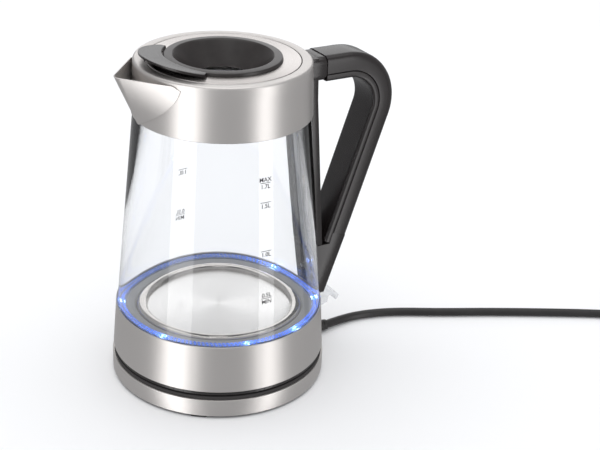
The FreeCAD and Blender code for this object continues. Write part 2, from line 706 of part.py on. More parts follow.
def leds():
    return [
        led_block(LED_HALF, Z_CARRIER_TOP - CARRIER_DECK, Z_RING_FOOT + 2.2, azimuth)
        for azimuth in LED_AZIMUTHS]


def led_board():
    """Ring-shaped circuit board clipped under the carrier's flange."""
    z_top = Z_CARRIER_TOP - CARRIER_DECK - SLIDE
    board = ring(LED_R - 3.4, LED_R + 3.0, z_top - 1.2, z_top)
    holes = [
        rod(BOSS_R + FIT, polar(CARRIER_SCREW_R, azimuth, z_top - 3),
            polar(CARRIER_SCREW_R, azimuth, z_top + 1))
        for azimuth in CARRIER_SCREW_AZIMUTHS]
    return board.cut(holes + [switch_bay(FIT)])


def jug_wires():
    """Insulated leads from the control to the steam switch and to the element's tails."""
    z = Z_CONTROL_TOP - 3.5
    wires = []
    for side in (-1, 1):
        start = FreeCAD.Vector(CONTROL_R - 0.4, side * 3.5, z)
        knee = FreeCAD.Vector(CONTROL_R + 11, side * 5.0, z - 4)
        end = FreeCAD.Vector(SKIRT_TOP_R - 26, side * 7.5, Z_PIVOT - 4)
        wires.append(tube([start, knee, end], 1.0)[0])
        tail = polar(ELEMENT_R, side * 32.5, Z_ELEMENT - 9)
        edge = polar(CONTROL_R - 0.4, side * 32.5, z - 3)
        wires.append(rod(1.3, edge, tail))
    return wires


# ---------------------------------------------------------------- jug: glass, collar and spout
def glass():
    outer = [(glass_r(z), z) for z in (Z_GLASS_FOOT, Z_GLASS_TOP)]
    inner = [(glass_r(z) - GLASS_WALL, z) for z in (Z_GLASS_TOP, Z_GLASS_FOOT)]
    round_off = 0.7
    return turned([
        (outer[0][0] - round_off, outer[0][1]), (outer[0][0], outer[0][1] + round_off),
        (outer[1][0], outer[1][1] - round_off), (outer[1][0] - round_off, outer[1][1]),
        (inner[0][0] + round_off, inner[0][1]), (inner[0][0], inner[0][1] - round_off), inner[1]])


def collar_shell(inset=0.0):
    """The collar's outline, turned; a positive inset gives the space inside its wall."""
    r_low, r_high = COLLAR_FOOT_R - inset, COLLAR_TOP_R - inset
    quarter = half_ellipse(RIM_ROUND, RIM_ROUND, range(0, 91, 15))
    arc = [(r_high - RIM_ROUND + x, Z_RIM - inset - RIM_ROUND + y) for x, y in quarter]
    return [(r_low, Z_COLLAR)] + arc


def collar():
    wall = STEEL_WALL
    outside = collar_shell()
    inside = collar_shell(wall)
    lip = 3.0
    outline = outside + [(COLLAR_MOUTH_R, Z_RIM), (COLLAR_MOUTH_R, Z_RIM - lip),
                         (COLLAR_MOUTH_R + wall, Z_RIM - lip), (COLLAR_MOUTH_R + wall, Z_RIM - wall)]
    shell = turned(outline + inside[::-1])
    steam_hole = rod(STEAM_R + FIT, in_plane(COLLAR_MOUTH_R, Z_STEAM_TOP), in_plane(COLLAR_FOOT_R + 5, Z_STEAM_TOP))
    screw_hole = rod(SCREW_SHANK_R + THREAD_FIT, in_plane(COLLAR_MOUTH_R + 2, ARM_Z), in_plane(COLLAR_FOOT_R + 5, ARM_Z))
    bridge = ring(COLLAR_FOOT_R - 10, COLLAR_FOOT_R + 1, Z_RIM - COLLAR_BRIDGE, Z_RIM)
    return shell.cut([spout_space().cut(bridge), steam_hole, screw_hole])


def top_seal():
    """Silicone channel on the top edge of the glass, inside the collar."""
    z = Z_GLASS_TOP
    z_skirt, z_inner, z_cap = z - 5, z - 3, z + SEAL_WALL
    r_out = glass_r(z)
    return turned([
        (glass_r(z_skirt) + SLIDE, z_skirt), (collar_r(z_skirt) - STEEL_WALL - SLIDE, z_skirt),
        (collar_r(z_cap) - STEEL_WALL - SLIDE, z_cap), (r_out - GLASS_WALL - SEAL_WALL, z_cap),
        (glass_r(z_inner) - GLASS_WALL - SEAL_WALL, z_inner),
        (glass_r(z_inner) - GLASS_WALL - SLIDE, z_inner),
        (r_out - GLASS_WALL - SLIDE, z + SLIDE), (r_out + SLIDE, z + SLIDE)])


def collar_liner():
    """Moulded ring inside the collar's mouth, which the lid's seal slides into."""
    z_top = Z_RIM - LID_WALL - 0.4
    z_low = z_top - LID_BODY_DEPTH + 0.6
    ledge = 3.2
    wall_r = LINER_IN_R + LINER_WALL
    ledge_r = COLLAR_TOP_R - STEEL_WALL - FIT
    liner = turned([
        (LINER_IN_R, z_low), (wall_r, z_low), (wall_r, z_top - 1.6), (ledge_r, z_top - ledge),
        (ledge_r, z_top - ledge + 1.2), (wall_r, z_top - 0.4), (wall_r, z_top - ledge + 1.0),
        (LINER_IN_R, z_top - ledge + 1.0)])
    return liner.cut(spout_space(2.0))


def spout_section(z, inset):
    """A closed outline at one height: two straight flanks, a round nose and a chord inside the collar."""
    z_lip = Z_RIM - SPOUT_TIP_DROP
    depth = min(max((z_lip - z) / SPOUT_DEPTH, 0.0), 1.0)
    half = math.radians(SPOUT_HALF_ANGLE * (1 - depth ** SPOUT_FOLD))
    root_r = collar_r(z) - 0.1
    reach = SPOUT_REACH - (SPOUT_REACH - COLLAR_FOOT_R) * depth - inset
    root = FreeCAD.Vector(-root_r * math.cos(half), root_r * math.sin(half), z)
    nose = FreeCAD.Vector(-reach, 0, z)
    flank = nose - root
    flank.normalize()
    lean = math.atan2(flank.y * -1, flank.x * -1)
    nose_r = max(SPOUT_NOSE_R - inset, 1.5)
    centre_x = -reach + nose_r
    touch = FreeCAD.Vector(centre_x - nose_r * math.sin(lean), nose_r * math.cos(lean), z)
    root = root + FreeCAD.Vector(math.sin(lean), -math.cos(lean), 0) * inset
    back = FreeCAD.Vector(-root_r + 16, root.y, z)
    far_touch, far_root, far_back = [FreeCAD.Vector(p.x, -p.y, p.z) for p in (touch, root, back)]
    rounded = Part.Arc(touch, nose, far_touch).toShape()
    straight = [
        Part.LineSegment(first, second).toShape() for first, second in (
            (back, root), (root, touch), (far_touch, far_root), (far_root, far_back), (far_back, back))]
    return Part.Wire(straight[:2] + [rounded] + straight[2:])


def spout_solid(inset, over_top=0.0):
    z_lip = Z_RIM - SPOUT_TIP_DROP
    levels = [z_lip - SPOUT_DEPTH * share for share in (0.93, 0.75, 0.5, 0.25, 0.0)]
    wires = [spout_section(z, inset) for z in levels]
    if over_top:
        raised = wires[-1].copy()
        raised.translate(UP * over_top)
        cap = Part.makeLoft([wires[-1], raised], True, True)
        return joined([Part.makeLoft(wires, True, True), cap])
    return Part.makeLoft(wires, True, True)


def spout_space(over_top=0.0):
    """The hollow of the spout, which also opens the collar behind it."""
    return spout_solid(SPOUT_WALL, over_top)


def spout():
    """The V-shaped beak, welded to the collar around its opening."""
    beak = spout_solid(0.0).cut(spout_space(1.0))
    inside_collar = turned([(0, Z_COLLAR - 5)] + [(r, z) for r, z in collar_shell()] + [(0, Z_RIM)])
    return beak.cut(inside_collar)


def filter_frame():
    """Frame that clips behind the spout's opening."""
    r_out = COLLAR_TOP_R - STEEL_WALL - 1.8
    z_low, z_high = Z_GLASS_TOP + 1.8, Z_RIM - 5
    wall = 1.4
    start, sweep = 180 - FILTER_HALF_ANGLE, 2 * FILTER_HALF_ANGLE
    frame = ring(r_out - wall, r_out, z_low, z_high, start, sweep)
    border = 2.6
    margin = math.degrees(border / r_out)
    windows = [
        ring(r_out - wall - 1, r_out + 1, z_low + border, z_high - border, first, sweep / 2 - 1.5 * margin)
        for first in (start + margin, 180 + margin / 2)]
    return frame.cut(windows)


def filter_mesh():
    """Fine mesh behind the frame's two windows."""
    r_out = COLLAR_TOP_R - STEEL_WALL - 1.8 - 1.4 - 0.05
    start, sweep = 180 - FILTER_HALF_ANGLE + 0.6, 2 * FILTER_HALF_ANGLE - 1.2
    return ring(r_out - 0.4, r_out, Z_GLASS_TOP + 2.4, Z_RIM - 5.6, start, sweep)


# ---------------------------------------------------------------- jug: handle
ARM_Z = Z_RIM - ARM_DROP
X_SEAM = COLLAR_TOP_R + SEAM_OUT
BEND = FreeCAD.Vector(COLLAR_TOP_R + BEND_OUT, 0, ARM_Z - BEND_R)
Z_BRACKET_FOOT = Z_SKIRT_TOP - BRACKET_FOOT_DROP
Z_CROTCH = Z_SKIRT_TOP + CROTCH_RISE
Z_LOWER_SEAM = Z_SKIRT_TOP + LOWER_SEAM_RISE
STEAM_R = 2.3
Z_STEAM_TOP = Z_RIM - 25.5
Z_STEAM_FOOT = Z_SKIRT_TOP - 5.0


def grip_lean():
    """Angle at which the bend ends, so that the grip's centre line runs to the bracket's foot."""
    foot_x = skirt_r(Z_BRACKET_FOOT) + 0.3
    across, down = foot_x - BEND.x, Z_BRACKET_FOOT - BEND.z
    return math.atan2(down, across) + math.acos(BEND_R / math.hypot(across, down))


LEAN = grip_lean()
BEND_TURN = 90.0 - math.degrees(LEAN)
OUTWARD = FreeCAD.Vector(math.cos(LEAN), 0, math.sin(LEAN))
DOWNWARD = FreeCAD.Vector(math.sin(LEAN), 0, -math.cos(LEAN))
BEND_END = BEND + OUTWARD * BEND_R


def grip_point(z, outward=0.0):
    """A point level with z on the grip's centre line, moved square to it."""
    return BEND_END + DOWNWARD * ((BEND_END.z - z) / -DOWNWARD.z) + OUTWARD * outward


def grip_section(width, low, high, corner):
    """A rounded section across the end of the arm, from low to high about its centre."""
    z = ARM_Z
    half = width / 2
    face = Part.Face(Part.makePolygon([
        FreeCAD.Vector(BEND.x, y, z + a)
        for y, a in ((-half, low), (half, low), (half, high), (-half, high), (-half, low))]))
    rounded = face.extrude(FreeCAD.Vector(1, 0, 0))
    along = [edge for edge in rounded.Edges if abs(edge.tangentAt(edge.FirstParameter).x) > 0.9]
    rounded = rounded.makeFillet(corner, along)
    ends = [f for f in rounded.Faces if abs(f.CenterOfMass.x - BEND.x) < 1e-6]
    return ends[0]


def handle_sweep(face, x_start, z_end):
    """The arm, the bend and the straight grip from one section."""
    arm = face.extrude(FreeCAD.Vector(x_start - BEND.x, 0, 0))
    bend = face.revolve(BEND, ACROSS, BEND_TURN)
    end_face = face.copy()
    end_face.rotate(BEND, ACROSS, BEND_TURN)
    length = (BEND_END.z - z_end) / -DOWNWARD.z
    grip = end_face.extrude(DOWNWARD * length)
    return joined([arm, bend, grip])


def grip_halves():
    """The grip split along its length into an outer and an inner shell around one cavity."""
    half = GRIP_DEPTH / 2
    outside = grip_section(GRIP_WIDTH, -half, half, GRIP_CORNER)
    inner_half = half - GRIP_WALL
    cavity = grip_section(GRIP_WIDTH - 2 * GRIP_WALL, -inner_half, inner_half, GRIP_CORNER - GRIP_WALL + 0.3)
    split = half - GRIP_SPLIT
    walls = outside.cut(cavity)

    def zone(low, high):
        """The band of the section between two depths."""
        over = GRIP_WIDTH
        corners = ((-over, low), (over, low), (over, high), (-over, high), (-over, low))
        return Part.Face(Part.makePolygon([FreeCAD.Vector(BEND.x, y, ARM_Z + a) for y, a in corners]))

    outer_zone, inner_zone = zone(split, GRIP_WIDTH), zone(-GRIP_WIDTH, split - SPLIT_GAP)
    return walls.common(outer_zone).Faces[0], walls.common(inner_zone).Faces[0]


def spine_line(z):
    """Outside of the spine in the middle plane."""
    body = collar_r(z) if z > Z_COLLAR else steel_r(z)
    return body + SPINE_DEPTH


def jug_envelope(clearance):
    """Everything inside the jug's outer surface, plus a clearance."""
    return turned([
        (0, Z_SKIRT), (skirt_r(Z_SKIRT) + clearance, Z_SKIRT), (SKIRT_TOP_R + clearance, Z_SKIRT_TOP),
        (COLLAR_FOOT_R + clearance, Z_COLLAR), (COLLAR_TOP_R + clearance, Z_RIM), (0, Z_RIM)])


def grip_outer_shell():
    return handle_sweep(grip_halves()[0], X_SEAM, Z_LOWER_SEAM)


def grip_inner_shell():
    shell = handle_sweep(grip_halves()[1], X_SEAM, Z_CROTCH)
    keep_out = prism([
        (0, Z_CROTCH - 30), (spine_line(Z_CROTCH - 30) + FIT, Z_CROTCH - 30),
        (spine_line(Z_CROTCH + 30) + FIT, Z_CROTCH + 30), (0, Z_CROTCH + 30)], GRIP_WIDTH)
    return shell.cut(keep_out)


def handle_stub():
    """Short fixed arm between the spine and the grip."""
    half = GRIP_DEPTH / 2 - 0.5
    outside = grip_section(GRIP_WIDTH - 1.0, -half, half, GRIP_CORNER - 0.5)
    cavity = grip_section(FRAME_WIDTH + 2 * FIT, -FRAME_DEPTH / 2 - FIT, FRAME_DEPTH / 2 + FIT, 0.4)
    section = outside.cut(cavity).Faces[0]
    section.translate(FreeCAD.Vector(X_SEAM - FIT - BEND.x, 0, 0))
    stub = section.extrude(FreeCAD.Vector(COLLAR_TOP_R - X_SEAM, 0, 0))
    return stub.cut([jug_envelope(FIT), spine_block(SLIDE)])


def handle_frame():
    """Flat steel strip that carries the load inside the grip, from the stub to the bracket."""
    half = FRAME_DEPTH / 2
    section = grip_section(FRAME_WIDTH, -half, half, 0.5)
    return handle_sweep(section, spine_line(ARM_Z) + 2.4, Z_BRACKET_FOOT + 26)


def spine_block(grown=0.0):
    half = BRACKET_WIDTH / 2 + grown
    z_top = ARM_Z + GRIP_DEPTH / 2 - 0.5
    block_solid = prism([
        (COLLAR_TOP_R - 8, Z_CROTCH + FIT - grown), (spine_line(Z_CROTCH) + grown, Z_CROTCH + FIT - grown),
        (spine_line(Z_COLLAR) + grown, Z_COLLAR), (spine_line(z_top) + grown, z_top + grown),
        (COLLAR_TOP_R - 8, z_top + grown)], half)
    return block_solid.cut(jug_envelope(FIT - grown))


def spine():
    """Channel down the outside of the glass, closed by the jug's wall, which hides the steam tube."""
    half = BRACKET_WIDTH / 2 - SPINE_WALL
    z_top = ARM_Z + GRIP_DEPTH / 2 - 0.5 - SPINE_WALL
    channel = prism([
        (COLLAR_TOP_R - 9, Z_CROTCH - 1), (spine_line(Z_CROTCH) - SPINE_WALL, Z_CROTCH - 1),
        (spine_line(Z_COLLAR) - SPINE_WALL, Z_COLLAR), (spine_line(z_top) - SPINE_WALL, z_top),
        (COLLAR_TOP_R - 9, z_top)], half)
    screw_hole = rod(SCREW_SHANK_R + THREAD_FIT, in_plane(COLLAR_TOP_R, ARM_Z), in_plane(X_SEAM, ARM_Z))
    return spine_block().cut([channel, screw_hole])


def steam_tube():
    """Silicone tube that takes steam from the collar down into the bracket, over the steam switch."""
    run = STEAM_R + 0.8
    points = [
        in_plane(COLLAR_TOP_R - 1, Z_STEAM_TOP), in_plane(collar_r(Z_STEAM_TOP) + run, Z_STEAM_TOP),
        in_plane(collar_r(Z_COLLAR) + run, Z_COLLAR - 4), in_plane(SKIRT_TOP_R + run, Z_STEAM_FOOT)]
    wire, _ = route(points, 0.3)
    along = points[1] - points[0]
    outer = Part.Wire([Part.makeCircle(STEAM_R, points[0], along)])
    inner = Part.Wire([Part.makeCircle(STEAM_R - 0.8, points[0], along)])
    return wire.makePipeShell([outer], True, False).cut(wire.makePipeShell([inner], True, False))


def bracket_outline(inset):
    """Side outline of the lower bracket; an inset gives its cavity."""
    half = GRIP_DEPTH / 2
    outer = half - BRACKET_STEP - inset
    trim = half - GRIP_SPLIT + SPLIT_GAP + inset
    foot_z = Z_BRACKET_FOOT + inset
    seam = Z_LOWER_SEAM - FIT - inset * 2
    crotch = Z_CROTCH - FIT - inset
    back, front = grip_point(seam, outer), grip_point(seam, trim)
    return [
        (skirt_r(foot_z) - 6, foot_z), (grip_point(foot_z - 3 * inset, outer).x, foot_z),
        (back.x, back.z), (front.x, front.z), (grip_point(Z_CROTCH, trim).x, crotch), (SKIRT_TOP_R - 12, crotch)]


def bracket():
    """V-shaped foot of the handle, hollow, open towards the jug."""
    half = BRACKET_WIDTH / 2
    body = prism(bracket_outline(0.0), half).cut(jug_envelope(FIT))
    cavity = prism(bracket_outline(GRIP_WALL), half - GRIP_WALL)
    frame_half = FRAME_DEPTH / 2 + FIT
    frame_section = grip_section(FRAME_WIDTH + 2 * FIT, -frame_half, frame_half, 0.4)
    frame_way = handle_sweep(frame_section, BEND.x - 1, Z_BRACKET_FOOT + 25)
    steam_half = STEAM_R + FIT
    steam_way = block((SKIRT_TOP_R - 12, -steam_half, Z_CROTCH - 8),
                      (spine_line(Z_CROTCH) - SPINE_WALL, steam_half, Z_CROTCH + 1))
    return body.cut([cavity, frame_way, steam_way])


def handle_screws():
    """One screw through the spine into the collar, hidden in the stub, and two behind the bracket."""
    start = COLLAR_TOP_R - 2.5
    under_head = spine_line(ARM_Z) + 0.05
    screws = [screw(in_plane(start, ARM_Z), ALONG, under_head - start, SCREW_SHANK_R, 2.2, 1.8)]
    z = Z_SKIRT_TOP + 10
    for y in (-6.5, 6.5):
        screws.append(screw(FreeCAD.Vector(steel_r(z) + 0.5, y, z), ALONG, 3.5, SCREW_SHANK_R, 2.4, 1.2))
    return screws


# ---------------------------------------------------------------- steam switch and lever
DISC_R = 3.0
DISC_WALL = 0.4


def steam_switch():
    """Housing under the handle's foot with two cheeks for the lever's pin."""
    x_back = SKIRT_TOP_R - 26 + FIT
    x_front = X_PIVOT - 6.0
    box = block((x_back, -SWITCH_HALF + 1, Z_PIVOT - 11), (x_front, SWITCH_HALF - 1, Z_PIVOT + 8))
    cheeks = [
        block((x_front - 1, y, Z_PIVOT - 5), (X_PIVOT + 4, y + 1.8, Z_PIVOT + 4))
        for y in (-SWITCH_HALF + 1, SWITCH_HALF - 2.8)]
    across = rod(PIN_R, FreeCAD.Vector(X_PIVOT, -20, Z_PIVOT), FreeCAD.Vector(X_PIVOT, 20, Z_PIVOT))
    hollow = block((x_back + 1.6, -SWITCH_HALF + 2.8, Z_PIVOT - 9),
                   (x_front - 1.6, SWITCH_HALF - 2.8, Z_PIVOT + 6.4))
    return joined([box] + cheeks).cut([across, hollow])


def bimetal_disc():
    """Snap disc of the steam switch, in the way of the steam."""
    x = (SKIRT_TOP_R - 26 + X_PIVOT - 6.0) / 2
    low = FreeCAD.Vector(x, 0, Z_PIVOT + 3)
    return rod(DISC_R, low, low + UP * DISC_WALL)


def lever_pin():
    reach = SWITCH_HALF - 1
    return rod(PIN_R, FreeCAD.Vector(X_PIVOT, -reach, Z_PIVOT), FreeCAD.Vector(X_PIVOT, reach, Z_PIVOT))


def switch_lever():
    """Clear moulded paddle with a turned-down tip, on a hub inside the skirt."""
    tip_x = skirt_r(Z_PIVOT) + LEVER_REACH
    wall = LEVER_WALL
    out = SKIRT_FOOT_R + 1.4
    top = Z_PIVOT + 3.6
    outline = [
        (X_PIVOT, Z_PIVOT + 1.8), (out - 2, top), (out + 9, top - 0.6), (tip_x - 5, top - 2.2),
        (tip_x - 1.2, top - 3.8), (tip_x, top - 5.6), (tip_x - 0.4, top - 8.0), (tip_x - 1.6, top - 9.4),
        (tip_x - 2.9, top - 9.2), (tip_x - wall, top - 6.6), (tip_x - wall - 1.6, top - 5.2),
        (tip_x - 9.0, top - 4.8), (tip_x - 10.2, top - 9.8), (tip_x - 14.5, top - 11.2),
        (out + 0.6, top - 10.4), (out - 0.4, top - 5.0), (X_PIVOT, Z_PIVOT - 1.8)]
    half = LEVER_WIDTH / 2
    hub = rod(3.2, FreeCAD.Vector(X_PIVOT, -half, Z_PIVOT), FreeCAD.Vector(X_PIVOT, half, Z_PIVOT))
    bore = rod(PIN_R + RUNNING, FreeCAD.Vector(X_PIVOT, -20, Z_PIVOT), FreeCAD.Vector(X_PIVOT, 20, Z_PIVOT))
    return joined([prism(outline, half), hub]).cut(bore)


# ---------------------------------------------------------------- lid
SCOOP_IN_R = FUNNEL_RING_R + 4.5
SCOOP_DEPTH = 7.0
Z_LID_UNDER = Z_RIM - LID_WALL


def scoop(wall=0.0):
    """Finger hollow in the lid, under the tab."""
    half_angle = TAB_HALF_ANGLE - 4
    floor = Z_RIM - SCOOP_DEPTH - wall
    return ring(SCOOP_IN_R - wall, LID_R - 1.2 + wall, floor, Z_RIM + 1, 180 - half_angle, 2 * half_angle)


def lid_plate():
    plate = turned([
        (FUNNEL_RING_R - 3, Z_LID_UNDER), (LID_R - 0.4, Z_LID_UNDER), (LID_R, Z_LID_UNDER + 0.4),
        (LID_R, Z_RIM - 0.4), (LID_R - 0.4, Z_RIM), (FUNNEL_RING_R - 3, Z_RIM)])
    return plate.cut(scoop())


def lid_funnel():
    """Black ring and funnel, open at the bottom, that fills the kettle with the lid on."""
    top = Z_RIM + FUNNEL_RING_RISE
    foot = top - FUNNEL_DEPTH
    mouth, end, wall = FUNNEL_MOUTH_R, FUNNEL_FOOT_R, FUNNEL_WALL
    return turned([
        (mouth, top - 0.6), (mouth + 0.6, top), (FUNNEL_RING_R - 1.2, top), (FUNNEL_RING_R, top - 1.2),
        (FUNNEL_RING_R, Z_RIM + SLIDE), (mouth + wall + 0.4, Z_RIM + SLIDE),
        (mouth + wall - 1.6, Z_RIM - 3), (end + wall, foot), (end, foot)])


def lid_body():
    """Moulded underside of the lid, with the finger hollow and steam holes towards the handle."""
    out, wall = LINER_IN_R - 2.0, 1.8
    top = Z_LID_UNDER - SLIDE
    low = top - LID_BODY_DEPTH
    inner = FUNNEL_FOOT_R + FUNNEL_WALL + 5.5
    shell = turned([
        (inner, low), (out, low), (out, top), (out - wall, top), (out - wall, low + wall), (inner, low + wall)])
    post = ring(FUNNEL_RING_R - 2.4, FUNNEL_RING_R - 0.8, low + wall, top)
    pocket = scoop(1.4).common(ring(0.1, out, low, top)).cut(scoop())
    holes = [
        rod(2.0, polar(out - 8, azimuth, low - 1), polar(out - 8, azimuth, low + 3))
        for azimuth in range(-30, 31, 12)]
    return joined([shell, post, pocket]).cut(holes)


def lid_seal():
    """Silicone lip around the lid's body."""
    out = LINER_IN_R - 2.0
    low = Z_LID_UNDER - LID_BODY_DEPTH + 2.2
    return turned([
        (out + 0.1, low), (LINER_IN_R - FIT - 0.6, low), (LINER_IN_R - FIT, low + 0.6),
        (LINER_IN_R - FIT, low + 1.6), (out + 0.9, low + 2.4), (out + 0.9, low + 3.6),
        (out + 0.1, low + 3.6)])


def lid_tab():
    """Beak-shaped lifting tab that rises over the finger hollow towards the spout."""
    sections = []
    for step in range(-6, 7):
        share = abs(step) / 6
        reach = FUNNEL_RING_R + 6.0 + (TAB_REACH - FUNNEL_RING_R - 6.0) * (1 - share ** 1.7)
        tip_z = Z_RIM + 3.0 + (TAB_RISE - 3.0) * (1 - share ** 1.5)
        root_z = Z_RIM + 3.0 + 1.6 * (1 - share ** 2)
        azimuth = 180 + TAB_HALF_ANGLE * step / 6
        corners = [
            (FUNNEL_RING_R + 0.4, Z_RIM + SLIDE), (FUNNEL_RING_R + 0.8, root_z),
            (FUNNEL_RING_R + 3.6, root_z + 0.3), (reach, tip_z), (reach - 0.3, tip_z - TAB_WALL * 0.7),
            (FUNNEL_RING_R + 4.2, Z_RIM + SLIDE)]
        points = [polar(radius, azimuth, z) for radius, z in corners]
        sections.append(Part.makePolygon(points + points[:1]))
    return Part.makeLoft(sections, True, True)


# ---------------------------------------------------------------- write the parts
NODES = {
    "base_bottom_cover": base_bottom_cover, "base_band": base_band, "base_top_plate": base_top_plate,
    "base_connector": base_connector, "base_contacts": base_contacts, "base_screws": base_screws,
    "base_feet": lambda: [foot(azimuth) for azimuth in FOOT_AZIMUTHS],
    "cord_boot": cord_boot, "cord_clamp": cord_clamp, "base_wires": base_wires,
    "cord_lead": cord_lead, "cord_coil": cord_coil, "cord_tail": cord_tail, "cord_tie": cord_tie,
    "plug_body": plug_body, "plug_pins": plug_pins,
    "socket_ring": socket_ring,
    "jug_bottom_cover": jug_bottom_cover, "skirt": skirt, "carrier": carrier,
    "carrier_screws": carrier_screws,
    "control_unit": control_unit, "socket_contacts": socket_contacts, "heating_plate": heating_plate,
    "heat_spreader": heat_spreader, "heating_element": heating_element, "plate_seal": plate_seal,
    "light_ring": light_ring, "leds": leds, "led_board": led_board, "jug_wires": jug_wires,
    "glass": glass, "top_seal": top_seal, "collar": collar, "collar_liner": collar_liner, "spout": spout,
    "filter_frame": filter_frame, "filter_mesh": filter_mesh,
    "spine": spine, "steam_tube": steam_tube, "handle_stub": handle_stub, "handle_frame": handle_frame,
    "grip_outer_shell": grip_outer_shell, "grip_inner_shell": grip_inner_shell, "bracket": bracket,
    "handle_screws": handle_screws, "steam_switch": steam_switch, "bimetal_disc": bimetal_disc,
    "lever_pin": lever_pin, "switch_lever": switch_lever,
    "lid_plate": lid_plate, "lid_funnel": lid_funnel, "lid_body": lid_body, "lid_seal": lid_seal,
    "lid_tab": lid_tab,
}


def main():
    os.makedirs("parts", exist_ok=True)
    for name, make in NODES.items():
        made = make()
        shape = Part.makeCompound(made) if isinstance(made, list) else made
        shape.exportStep(os.path.join("parts", name + ".step"))
        if not shape.isValid() or (not isinstance(made, list) and len(shape.Solids) != 1):
            print("check", name, "valid", shape.isValid(), "solids", len(shape.Solids))
    print(len(NODES), "nodes")


main()
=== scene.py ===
"""Electric kettle with a glass jug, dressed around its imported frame.

Everything is in metres, in the frame's own axes: +Z up, the handle along +X and the spout along -X.
"""

import logging
import math
from collections.abc import Callable, Sequence
from dataclasses import dataclass
from enum import Enum
from functools import cache
from typing import ClassVar

import bmesh
import bpy
from mathutils import Matrix, Vector


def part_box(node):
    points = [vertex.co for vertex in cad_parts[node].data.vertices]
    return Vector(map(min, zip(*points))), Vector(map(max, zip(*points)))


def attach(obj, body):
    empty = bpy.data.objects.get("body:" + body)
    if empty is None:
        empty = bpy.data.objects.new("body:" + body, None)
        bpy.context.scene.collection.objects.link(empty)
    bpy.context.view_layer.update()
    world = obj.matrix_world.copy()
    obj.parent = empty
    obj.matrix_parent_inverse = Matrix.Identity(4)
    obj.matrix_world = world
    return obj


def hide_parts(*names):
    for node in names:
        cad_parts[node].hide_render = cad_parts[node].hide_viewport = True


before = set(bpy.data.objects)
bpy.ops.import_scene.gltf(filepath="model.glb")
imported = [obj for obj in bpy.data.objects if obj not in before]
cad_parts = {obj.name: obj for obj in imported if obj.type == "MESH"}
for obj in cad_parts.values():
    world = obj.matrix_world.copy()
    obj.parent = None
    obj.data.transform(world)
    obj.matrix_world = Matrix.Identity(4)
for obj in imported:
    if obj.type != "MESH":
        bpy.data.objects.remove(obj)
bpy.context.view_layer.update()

log = logging.getLogger("kettle")

MM = 0.001
UP = Vector((0.0, 0.0, 1.0))
SPOUT_WAY = math.pi               # azimuth of the spout
TURN_STEPS = 192                  # facets of a full turn
SOFT_EDGE = math.radians(32)      # edges that turn more than this stay crisp
BEVEL_FROM = math.radians(35)     # edges of a CAD piece that turn more than this are rounded
FLAT_WITHIN = math.radians(1)     # neighbouring CAD facets closer than this become one
TOUCHING = 1e-6                   # points closer than this are one point
CAD_TOUCHING = 5e-6
SKIRT_TAPER = 2.4 * MM            # how much smaller in radius each wall is at its top
COLLAR_TAPER = 1.4 * MM


class Body(Enum):
    """The bodies that new pieces ride on."""

    BASE = "power_base"
    JUG = "jug"
    LID = "lid"
    LEVER = "lever"


# ---------------------------------------------------------------- places read from the frame
@dataclass(frozen=True)
class Span:
    """The box of one CAD node."""

    low: Vector
    high: Vector

    @classmethod
    @cache
    def of(cls, node: str) -> "Span":
        """Read the box of a node, once.

        Args:
            node: the node's name.

        Returns:
            Its lowest and highest corners.
        """
        low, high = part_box(node)
        return cls(Vector(low), Vector(high))

    @property
    def radius(self) -> float:
        """Largest reach along Y, which is the radius of a turned piece."""
        return self.high.y

    def share(self, height: float) -> float:
        """How far up the box a height is, from 0 at its foot to 1 at its top."""
        return (height - self.low.z) / (self.high.z - self.low.z)


# ---------------------------------------------------------------- outlines and meshes
@dataclass(frozen=True)
class Corner:
    """One corner of an outline, with the radius that softens it."""

    across: float
    up: float
    soft: float = 0.0


def outline(corners: Sequence[Corner], closed: bool = True, steps: int = 4) -> list[Vector]:
    """Round the corners of an outline.

    Args:
        corners: the corners in order.
        closed: whether the last corner joins the first.
        steps: facets of each rounded corner.

    Returns:
        Points (across, up) along the outline.
    """
    points: list[Vector] = []
    count = len(corners)
    for index, corner in enumerate(corners):
        here = Vector((corner.across, corner.up))
        at_end = not closed and index in (0, count - 1)
        if corner.soft <= 0.0 or at_end:
            points.append(here)
            continue
        before, after = corners[index - 1], corners[(index + 1) % count]
        back = Vector((before.across, before.up)) - here
        ahead = Vector((after.across, after.up)) - here
        turn = math.pi - back.angle(ahead)
        cut = min(corner.soft * math.tan(turn / 2), 0.49 * back.length, 0.49 * ahead.length)
        start, end = here + back.normalized() * cut, here + ahead.normalized() * cut
        for step in range(steps + 1):
            share = step / steps
            points.append(start * (1 - share) ** 2 + here * 2 * share * (1 - share) + end * share ** 2)
    return points


def placed(name: str, data: bpy.types.ID) -> bpy.types.Object:
    """A new object in the scene that shows a mesh, curve, lamp or camera."""
    made = bpy.data.objects.new(name, data)
    bpy.context.scene.collection.objects.link(made)
    return made


def shade_smooth(mesh: bpy.types.Mesh, crisp: float) -> None:
    """Shade a mesh smooth, apart from edges that turn more than an angle."""
    mesh.polygons.foreach_set("use_smooth", [True] * len(mesh.polygons))
    mesh.set_sharp_from_angle(angle=crisp)


def finish_mesh(name: str, shape: bmesh.types.BMesh, crisp: float = SOFT_EDGE) -> bpy.types.Object:
    """Turn a bmesh into a smooth-shaded object at the origin.

    Args:
        name: the object's name.
        shape: its geometry, which is freed.
        crisp: edges that turn more than this angle stay sharp.

    Returns:
        The new object.
    """
    bmesh.ops.remove_doubles(shape, verts=shape.verts, dist=TOUCHING)
    bmesh.ops.recalc_face_normals(shape, faces=shape.faces)
    mesh = bpy.data.meshes.new(name)
    shape.to_mesh(mesh)
    shape.free()
    shade_smooth(mesh, crisp)
    return placed(name, mesh)


